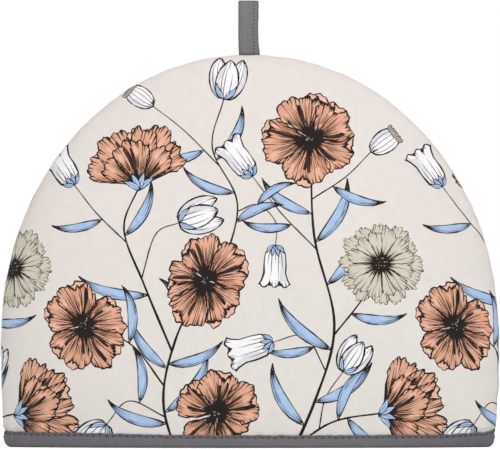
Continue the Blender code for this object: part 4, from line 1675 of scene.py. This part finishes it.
def hanging_loop():
    side = [(-y, z) for y, z in LOOP_SIDE]
    path = through(side + [(0.0, 303.95)] + [(y, z) for y, z in LOOP_SIDE[::-1]],
                   900)
    s = np.concatenate([[0], np.cumsum(np.hypot(*np.diff(path, axis=0).T))])
    steps = int(s[-1] / 0.75)
    k = np.linspace(0, s[-1], steps)
    yz = np.stack([np.interp(k, s, path[:, 0]), np.interp(k, s, path[:, 1])], 1)
    t = np.gradient(yz, axis=0)
    t /= np.hypot(*t.T)[:, None]
    out = np.stack([-t[:, 1], t[:, 0]], 1)     # away from the loop's middle
    # front leg rises, so "out" is towards the front there
    half = LOOP_WIDTH / 2
    # section: out side from right to left, then back along the inner side
    w = np.concatenate([np.linspace(1, -1, 33)])
    edge = np.sqrt(np.maximum(0, 1 - np.maximum(0, np.abs(w) * half
                                                - (half - 0.55)) ** 2 / 0.55 ** 2))
    thick = 0.6 * edge
    section_x = np.concatenate([w, w[::-1][1:-1]]) * half
    section_n = np.concatenate([thick, -thick[::-1][1:-1]])
    groove = np.exp(-((section_x - (3.07 - LOOP_X)) / 0.55) ** 2)
    hem = np.exp(-((np.abs(section_x) - (half - 1.5)) / 0.6) ** 2)
    section_n = np.where(section_n >= 0,
                         section_n - 0.13 * groove + 0.05 * hem,
                         section_n + 0.13 * groove - 0.05 * hem)
    wave = ripple(31, 0.22, 1, 7)
    edge_l, edge_r = ripple(32, 0.09, 2, 9), ripple(33, 0.09, 2, 9)
    p = k / s[-1]
    # the tape spreads a little where it enters the seam, on the right
    z = yz[:, 1]
    flare_r = 0.75 * np.exp(-((z - 268.0) / 4.5) ** 2) \
        - 0.25 * np.exp(-((z - 287.0) / 9.0) ** 2)
    flare_l = -0.40 * np.exp(-((z - 267.0) / 6.0) ** 2)
    free = smooth((z - 270.0) / 8.0)
    n, m = steps, len(section_x)
    verts = np.zeros((n, m, 3))
    side_k = section_x / half
    for i in range(n):
        x = section_x.copy()
        x += np.where(side_k > 0, side_k ** 2 * (flare_r[i] + edge_r(p[i])),
                      -side_k ** 2 * (flare_l[i] + edge_l(p[i])))
        bow = 0.22 * (1 - side_k ** 2) * free[i]
        lean = wave(p[i]) * side_k * 0.5 * free[i]
        d = section_n + bow + lean
        verts[i, :, 0] = LOOP_X + x
        verts[i, :, 1] = yz[i, 0] + out[i, 0] * d
        verts[i, :, 2] = yz[i, 1] + out[i, 1] * d
    i, j = np.meshgrid(np.arange(n - 1), np.arange(m), indexing="ij")
    j2 = (j + 1) % m
    quads = np.stack([i * m + j, i * m + j2, (i + 1) * m + j2, (i + 1) * m + j],
                     -1).reshape(-1, 4)
    quads = quads.tolist()
    caps = []
    top = 32
    for base, order in ((0, -1), ((n - 1) * m, 1)):
        for a in range(0, top):
            b = a + 1
            c = (m - b) % m
            d = (m - a) % m
            face = [base + q for q in (a, b, c, d)]
            face = list(dict.fromkeys(face))
            caps.append(face[::order])
    tri = [c for c in caps if len(c) == 3]
    quad = quads + [c for c in caps if len(c) == 4]
    flat_verts = verts.reshape(-1, 3)
    if signed_volume(flat_verts, quad) < 0:
        quad, tri = [q[::-1] for q in quad], [q[::-1] for q in tri]
    mesh = new_mesh("loop_tape", flat_verts, [np.array(quad), np.array(tri)])
    ids = np.concatenate([np.array(quad).ravel(), np.array(tri).ravel()])
    along, across = k[ids // m], section_x[ids % m]
    corner_data(mesh, "flat", np.stack([across, along, 0 * along], 1),
                "FLOAT_VECTOR")
    obj = bpy.data.objects.new("loop_tape", mesh)
    bpy.context.scene.collection.objects.link(obj)
    # its stitches, on both legs and on both faces
    tubes = []
    rng = random.Random(41)
    at = 3.07 - LOOP_X
    for q in np.arange(LOOP_PITCH, s[-1] - 2.0, LOOP_PITCH):
        y, zz = np.interp(q, k, yz[:, 0]), np.interp(q, k, yz[:, 1])
        if zz < 266.0:
            continue
        ty, tz = np.interp(q, k, t[:, 0]), np.interp(q, k, t[:, 1])
        oy, oz = np.interp(q, k, out[:, 0]), np.interp(q, k, out[:, 1])
        f = float(smooth((zz - 270.0) / 8.0))
        wob = float(wave(q / s[-1]) * (at / half) * 0.5 * f)
        bow = 0.22 * (1 - (at / half) ** 2) * f
        for sign in (1, -1):
            d = sign * 0.53 + bow + wob
            centre = np.array([LOOP_X + at + rng.uniform(-0.07, 0.07),
                               y + oy * d, zz + oz * d])
            tubes.append((centre, np.array([0, ty, tz]) * 0.62,
                          np.array([0, oy, oz]) * sign,
                          np.array([rng.uniform(-0.08, 0.08), 0, 0])))
    thread = stitches("loop_stitches", tubes, 0.27)
    return obj, thread, s[-1]


# --------------------------------------------------------------------------
# Materials
# --------------------------------------------------------------------------
class Nodes:
    """Short ways to add and join shader nodes."""

    def __init__(self, name):
        self.mat = bpy.data.materials.new(name)
        self.mat.use_nodes = True
        self.tree = self.mat.node_tree
        self.shader = self.tree.nodes["Principled BSDF"]

    def add(self, kind, **values):
        node = self.tree.nodes.new(kind)
        for key, value in values.items():
            setattr(node, key, value)
        return node

    def join(self, a, b):
        self.tree.links.new(a, b)

    def attribute(self, name):
        return self.add("ShaderNodeAttribute", attribute_name=name)

    def value(self, socket, source):
        if hasattr(source, "is_linked") or hasattr(source, "links"):
            self.join(source, socket)
        else:
            socket.default_value = source

    def maths(self, operation, a, b=0.0, c=0.0, clamp=False):
        node = self.add("ShaderNodeMath", operation=operation)
        node.use_clamp = clamp
        for socket, source in zip(node.inputs, (a, b, c)):
            self.value(socket, source)
        return node.outputs[0]

    def axes(self, vector):
        node = self.add("ShaderNodeSeparateXYZ")
        self.join(vector, node.inputs[0])
        return node.outputs

    def noise(self, vector, scale, detail=2.0, rough=0.5, stretch=(1, 1, 1),
              turn=0.0):
        place = self.add("ShaderNodeMapping")
        self.join(vector, place.inputs["Vector"])
        place.inputs["Rotation"].default_value = (0, 0, turn)
        place.inputs["Scale"].default_value = [scale * s for s in stretch]
        node = self.add("ShaderNodeTexNoise")
        self.join(place.outputs[0], node.inputs["Vector"])
        node.inputs["Scale"].default_value = 1.0
        node.inputs["Detail"].default_value = detail
        node.inputs["Roughness"].default_value = rough
        return node.outputs["Fac"]

    def around_one(self, fac, size):
        """1 plus or minus size, from a value that centres on a half."""
        return self.maths("MULTIPLY_ADD", fac, 2 * size, 1 - size)

    def product(self, *values):
        out = values[0]
        for v in values[1:]:
            out = self.maths("MULTIPLY", out, v)
        return out

    def scaled(self, colour, factor):
        node = self.add("ShaderNodeVectorMath", operation="SCALE")
        self.value(node.inputs[0], colour)
        self.value(node.inputs["Scale"], factor)
        return node.outputs[0]

    def mix(self, fac, a, b):
        node = self.add("ShaderNodeMix", data_type="RGBA")
        self.value(node.inputs["Factor"], fac)
        self.value(node.inputs[6], a)
        self.value(node.inputs[7], b)
        return node.outputs[2]

    def near(self, value, centre, reach):
        """1 where value is at the centre, falling to 0 at reach from it."""
        off = self.maths("ABSOLUTE", self.maths("SUBTRACT", value, centre))
        return self.maths("MULTIPLY_ADD", off, -1 / reach, 1.0, clamp=True)

    def darker(self, mask, size):
        return self.maths("MULTIPLY_ADD", mask, -size, 1.0)

    def bump(self, height, strength, distance):
        node = self.add("ShaderNodeBump")
        node.inputs["Strength"].default_value = strength
        node.inputs["Distance"].default_value = distance
        self.join(height, node.inputs["Height"])
        self.join(node.outputs[0], self.shader.inputs["Normal"])


def weave(n, x, y, pitch, twill=False):
    """Height of a woven surface, from 0 to 1, with threads pitch mm apart."""
    k = 2 * math.pi / pitch
    sx = n.maths("SINE", n.maths("MULTIPLY", x, k))
    sy = n.maths("SINE", n.maths("MULTIPLY", y, k))
    if twill:
        both = n.maths("SINE", n.maths("MULTIPLY", n.maths("ADD", x, y), k / 2))
        fine = n.maths("MULTIPLY", sx, sy)
        return n.maths("MULTIPLY_ADD", n.maths("MULTIPLY_ADD", fine, 0.4, both),
                       0.35, 0.5)
    return n.maths("MULTIPLY_ADD", n.maths("MULTIPLY", sx, sy), 0.5, 0.5)


def printed_cloth():
    n = Nodes("printed_cloth")
    flat = n.attribute("flat").outputs["Vector"]
    x, y, _ = n.axes(flat)
    colour = n.attribute("print").outputs["Color"]
    # slubs along both thread directions, and ink that took unevenly
    warp = n.noise(flat, 1.0, 3, 0.6, (1.5, 0.085, 1))
    weft = n.noise(flat, 1.0, 3, 0.6, (0.085, 1.5, 1))
    speck = n.noise(flat, 1.7, 2, 0.7)
    tone = n.noise(flat, 0.16, 3, 0.55)
    broad = n.noise(flat, 0.02, 1, 0.5)
    grey = n.product(n.around_one(warp, 0.045), n.around_one(weft, 0.045),
                     n.around_one(speck, 0.03), n.around_one(broad, 0.012))
    # coloured areas vary more than the plain ground
    sep = n.add("ShaderNodeSeparateColor", mode="HSV")
    n.join(colour, sep.inputs[0])
    strong = n.maths("MULTIPLY", sep.outputs[1], 1.6, clamp=True)
    tint = n.maths("MULTIPLY_ADD",
                   n.maths("MULTIPLY", n.maths("SUBTRACT", tone, 0.5), 0.60),
                   strong, 1.0)
    # painted light tint: greener, bluer at the hem, warmer at the top
    painted_light_tint = n.add("ShaderNodeVectorMath", operation="MULTIPLY_ADD")
    n.join(n.maths("MULTIPLY_ADD", y, -1 / 140.0, 1.0), painted_light_tint.inputs[0])
    painted_light_tint.inputs[1].default_value = (-0.006, 0.015, 0.010)
    painted_light_tint.inputs[2].default_value = (1.0, 1.0, 1.0)
    light_tinted_colour = n.add("ShaderNodeVectorMath", operation="MULTIPLY")
    n.join(colour, light_tinted_colour.inputs[0])
    n.join(painted_light_tint.outputs[0], light_tinted_colour.inputs[1])
    n.join(n.scaled(light_tinted_colour.outputs[0], n.product(grey, tint)),
           n.shader.inputs["Base Color"])
    woven = weave(n, x, y, 0.52)
    height = n.maths("ADD", n.maths("MULTIPLY", woven, 0.5),
                     n.maths("ADD", n.maths("MULTIPLY", warp, 0.55),
                             n.maths("MULTIPLY", weft, 0.55)))
    n.bump(height, 0.35, 0.00016)
    rough = n.maths("MULTIPLY_ADD", speck, 0.12, 0.80)
    n.join(rough, n.shader.inputs["Roughness"])
    n.shader.inputs["Specular IOR Level"].default_value = 0.18
    n.shader.inputs["Sheen Weight"].default_value = 0.08
    n.shader.inputs["Sheen Roughness"].default_value = 0.5
    return n.mat


def grey_cloth(name, colour, pitch, twill, edge=None, shade_marks=None):
    n = Nodes(name)
    flat = n.attribute("flat").outputs["Vector"]
    x, y, _ = n.axes(flat)
    woven = weave(n, x, y, pitch, twill)
    streak_a = n.noise(flat, 1.0, 3, 0.6, (1.1, 0.10, 1))
    streak_b = n.noise(flat, 1.0, 3, 0.6, (0.10, 1.1, 1))
    tone = n.noise(flat, 0.09, 2, 0.5)
    speck = n.noise(flat, 2.2, 2, 0.7)
    grey = n.product(n.around_one(streak_a, 0.12), n.around_one(streak_b, 0.12),
                     n.around_one(tone, 0.06), n.around_one(speck, 0.09),
                     n.around_one(woven, 0.07))
    if edge is not None:
        # painted shade along the tape's two edges, where they turn away from the
        # light, a paler stripe, painted shade at the needle holes with a paler
        # tone between them, and a mottled painted shadow where the tape goes into
        # the seam
        away = n.maths("SUBTRACT", n.maths("ABSOLUTE", x), edge - 1.2)
        painted_edge_shade = n.maths("MULTIPLY", away, 1 / 1.0, clamp=True)
        # painted shade in the needle holes of the stitch row, paler between them
        beat = n.maths("MULTIPLY", y, 2 * math.pi / LOOP_PITCH)
        hole_shade = n.maths("MULTIPLY_ADD", n.maths("COSINE", beat), 0.5, 0.5)
        row = n.near(x, 3.57, 0.9)
        between = n.maths("SUBTRACT", 1.0, hole_shade)
        # painted shadow where the tape goes into the seam between the panels, mottled
        ends = n.maths("MAXIMUM", n.near(y, shade_marks[0], 1.25),
                       n.near(y, shade_marks[1], 1.25))
        ends = n.product(ends, n.around_one(speck, 0.9))
        mottle = n.noise(flat, 0.85, 2, 0.65)
        # the tape's own herringbone rows
        fold = n.maths("PINGPONG", n.maths("ADD", x, 20.0), 1.75)
        along = n.maths("MULTIPLY_ADD", mottle, 5.0, y)
        slope = n.maths("SINE", n.maths(
            "MULTIPLY", n.maths("ADD", fold, along), 2 * math.pi / 2.3))
        depth = n.maths("MULTIPLY_ADD", n.near(x, 1.7, 3.4), 0.10, 0.05)
        grey = n.product(
            grey, n.darker(painted_edge_shade, 0.33),
            n.darker(n.maths("MULTIPLY", slope, depth), 1.0),
            n.around_one(mottle, 0.42),
            n.darker(n.maths("MULTIPLY", row, hole_shade), 0.58),
            n.darker(n.maths("MULTIPLY", row, between), -0.28),
            n.darker(n.near(x, -2.4, 1.5), -0.12),
            n.darker(n.near(x, -0.5, 0.8), -0.04), n.darker(ends, 0.50))
    elif shade_marks is not None:
        # painted shade along the top edge's roll, in the groove of the stitch row
        # and along the underside of the foot, and painted shade towards the two
        # side seams, most at the right one, where the binding turns away from the
        # light
        round_ring, top, row, foot = shade_marks
        # painted shade towards the side seams, where the binding turns away from the
        # light
        ends = n.add("ShaderNodeValToRGB")
        n.join(n.maths("MULTIPLY", x, 1 / round_ring), ends.inputs["Fac"])
        stops = ends.color_ramp.elements
        stops[0].position, stops[1].position = 0.0, 1.0
        for at, value in ((0.06, 0.93), (0.16, 0.965), (0.24, 1.0),
                          (0.36, 1.0), (0.405, 0.93), (0.47, 0.87),
                          (0.51, 0.90), (0.60, 1.0), (0.94, 1.0)):
            stops.new(at).color = (value, value, value, 1)
        stops[0].color = stops[-1].color = (0.94, 0.94, 0.94, 1)
        # painted shade bands: the top edge's roll, the stitch groove and the foot's
        # underside
        grey = n.product(grey, n.maths("MULTIPLY", ends.outputs[0], 1.0),
                         n.darker(n.near(y, top + 0.5, 1.3), 0.20),
                         n.darker(n.near(y, row, 0.9), 0.14),
                         n.darker(n.near(y, foot - 0.6, 2.2), 0.16))
    n.join(n.scaled(tuple(colour), grey), n.shader.inputs["Base Color"])
    height = n.maths("ADD", woven, n.maths("MULTIPLY", streak_a, 0.6))
    n.bump(height, 0.5, 0.00018)
    n.join(n.maths("MULTIPLY_ADD", speck, 0.15, 0.78),
           n.shader.inputs["Roughness"])
    n.shader.inputs["Specular IOR Level"].default_value = 0.2
    n.shader.inputs["Sheen Weight"].default_value = 0.10
    n.shader.inputs["Sheen Roughness"].default_value = 0.5
    return n.mat


def thread(name, colour):
    n = Nodes(name)
    place = n.add("ShaderNodeTexCoord").outputs["Object"]
    ply = n.noise(place, 2600, 1, 0.5)
    tone = n.noise(place, 160, 2, 0.5)
    n.join(n.scaled(tuple(colour), n.product(n.around_one(ply, 0.25),
                                             n.around_one(tone, 0.10))),
           n.shader.inputs["Base Color"])
    n.bump(ply, 0.5, 0.0001)
    n.join(n.maths("MULTIPLY_ADD", ply, 0.2, 0.55), n.shader.inputs["Roughness"])
    n.shader.inputs["Specular IOR Level"].default_value = 0.25
    return n.mat


def studio_floor():
    n = Nodes("studio_floor")
    place = n.add("ShaderNodeTexCoord").outputs["Object"]
    tone = n.noise(place, 9, 2, 0.5)
    n.join(n.scaled((0.93, 0.93, 0.93), n.around_one(tone, 0.008)),
           n.shader.inputs["Base Color"])
    # a glowing white table top, as in product photography; its glow is for
    # the picture only and doesn't light the cloth
    n.shader.inputs["Emission Color"].default_value = (1, 1, 1, 1)
    n.join(n.maths("MULTIPLY", n.add("ShaderNodeLightPath").outputs[0], 0.42),
           n.shader.inputs["Emission Strength"])
    n.shader.inputs["Roughness"].default_value = 0.9
    n.shader.inputs["Specular IOR Level"].default_value = 0.1
    return n.mat


# --------------------------------------------------------------------------
# The object
# --------------------------------------------------------------------------
shapes = draw_print()
front = panel("front_panel_cloth", shapes, FRONT_OFFSET, True, 4)
back = panel("back_panel_cloth", shapes,
             BACK_OFFSET, False, 9)
binding, binding_thread, ring_length, ring_shade_marks = binding_ring()
tape, tape_thread, tape_length = hanging_loop()

cloth = printed_cloth()
for obj in (front, back):
    obj.data.materials.append(cloth)
binding.data.materials.append(
    grey_cloth("binding_cloth", rgb(*BINDING_COLOUR), 0.62, False,
               shade_marks=ring_shade_marks))
tape.data.materials.append(
    grey_cloth("loop_tape", rgb(*TAPE_COLOUR), 0.80, True, LOOP_WIDTH / 2,
               shade_marks=(8.6, tape_length - 8.6)))
binding_thread.data.materials.append(thread("dark_stitching", rgb(42, 40, 44)))
tape_thread.data.materials.append(thread("grey_stitching", rgb(66, 64, 67)))

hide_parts("front_panel")
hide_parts("back_panel")
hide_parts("binding")
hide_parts("hanging_loop")
for obj in (front, back, binding, binding_thread, tape, tape_thread):
    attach(obj, "root")

# --------------------------------------------------------------------------
# Floor, light and camera
# --------------------------------------------------------------------------
bpy.ops.mesh.primitive_circle_add(vertices=96, radius=3.0, fill_type="NGON")
floor = bpy.context.object
floor.name = "floor"
floor.data.materials.append(studio_floor())

world = bpy.data.worlds.new("studio")
bpy.context.scene.world = world
world.use_nodes = True
sky = world.node_tree.nodes["Background"]
sky.inputs["Color"].default_value = (1.0, 1.0, 1.0, 1.0)
tree = world.node_tree
way = tree.nodes.new("ShaderNodeSeparateXYZ")
squared = tree.nodes.new("ShaderNodeMath")
squared.operation = "MULTIPLY"
fall = tree.nodes.new("ShaderNodeMath")
fall.operation = "MULTIPLY_ADD"
fall.inputs[1].default_value = -WORLD * SIDE_FALL
fall.inputs[2].default_value = WORLD
tree.links.new(tree.nodes.new("ShaderNodeTexCoord").outputs["Generated"],
               way.inputs[0])
tree.links.new(way.outputs["X"], squared.inputs[0])
tree.links.new(way.outputs["X"], squared.inputs[1])
tree.links.new(squared.outputs[0], fall.inputs[0])
tree.links.new(fall.outputs[0], sky.inputs["Strength"])
# the studio's own wall is plain white
links = world.node_tree.links
wall = world.node_tree.nodes.new("ShaderNodeBackground")
wall.inputs["Color"].default_value = (1.0, 1.0, 1.0, 1.0)
seen = world.node_tree.nodes.new("ShaderNodeLightPath")
either = world.node_tree.nodes.new("ShaderNodeMixShader")
links.new(seen.outputs["Is Camera Ray"], either.inputs[0])
links.new(sky.outputs[0], either.inputs[1])
links.new(wall.outputs[0], either.inputs[2])
links.new(either.outputs[0], world.node_tree.nodes["World Output"].inputs[0])


def soft_light(name, at, aim, size, power, colour=(1, 1, 1)):
    data = bpy.data.lights.new(name, "AREA")
    data.shape = "DISK"
    data.size = size
    data.energy = power
    data.color = colour
    obj = bpy.data.objects.new(name, data)
    bpy.context.scene.collection.objects.link(obj)
    obj.location = at
    obj.rotation_euler = (Vector(aim) - Vector(at)).to_track_quat(
        "-Z", "Y").to_euler()
    return obj


for light in LIGHTS:
    soft_light(*light)

camera = bpy.data.cameras.new("camera")
camera.sensor_width = 36.0
camera.lens = CAMERA_LENS
camera.clip_start, camera.clip_end = 0.05, 200.0
holder = bpy.data.objects.new("camera", camera)
bpy.context.scene.collection.objects.link(holder)
holder.location = (0.00055, -10.0, 0.1518)
holder.rotation_euler = (math.pi / 2, 0.0, 0.0)
bpy.context.scene.camera = holder
bpy.context.scene.view_settings.view_transform = "Standard"
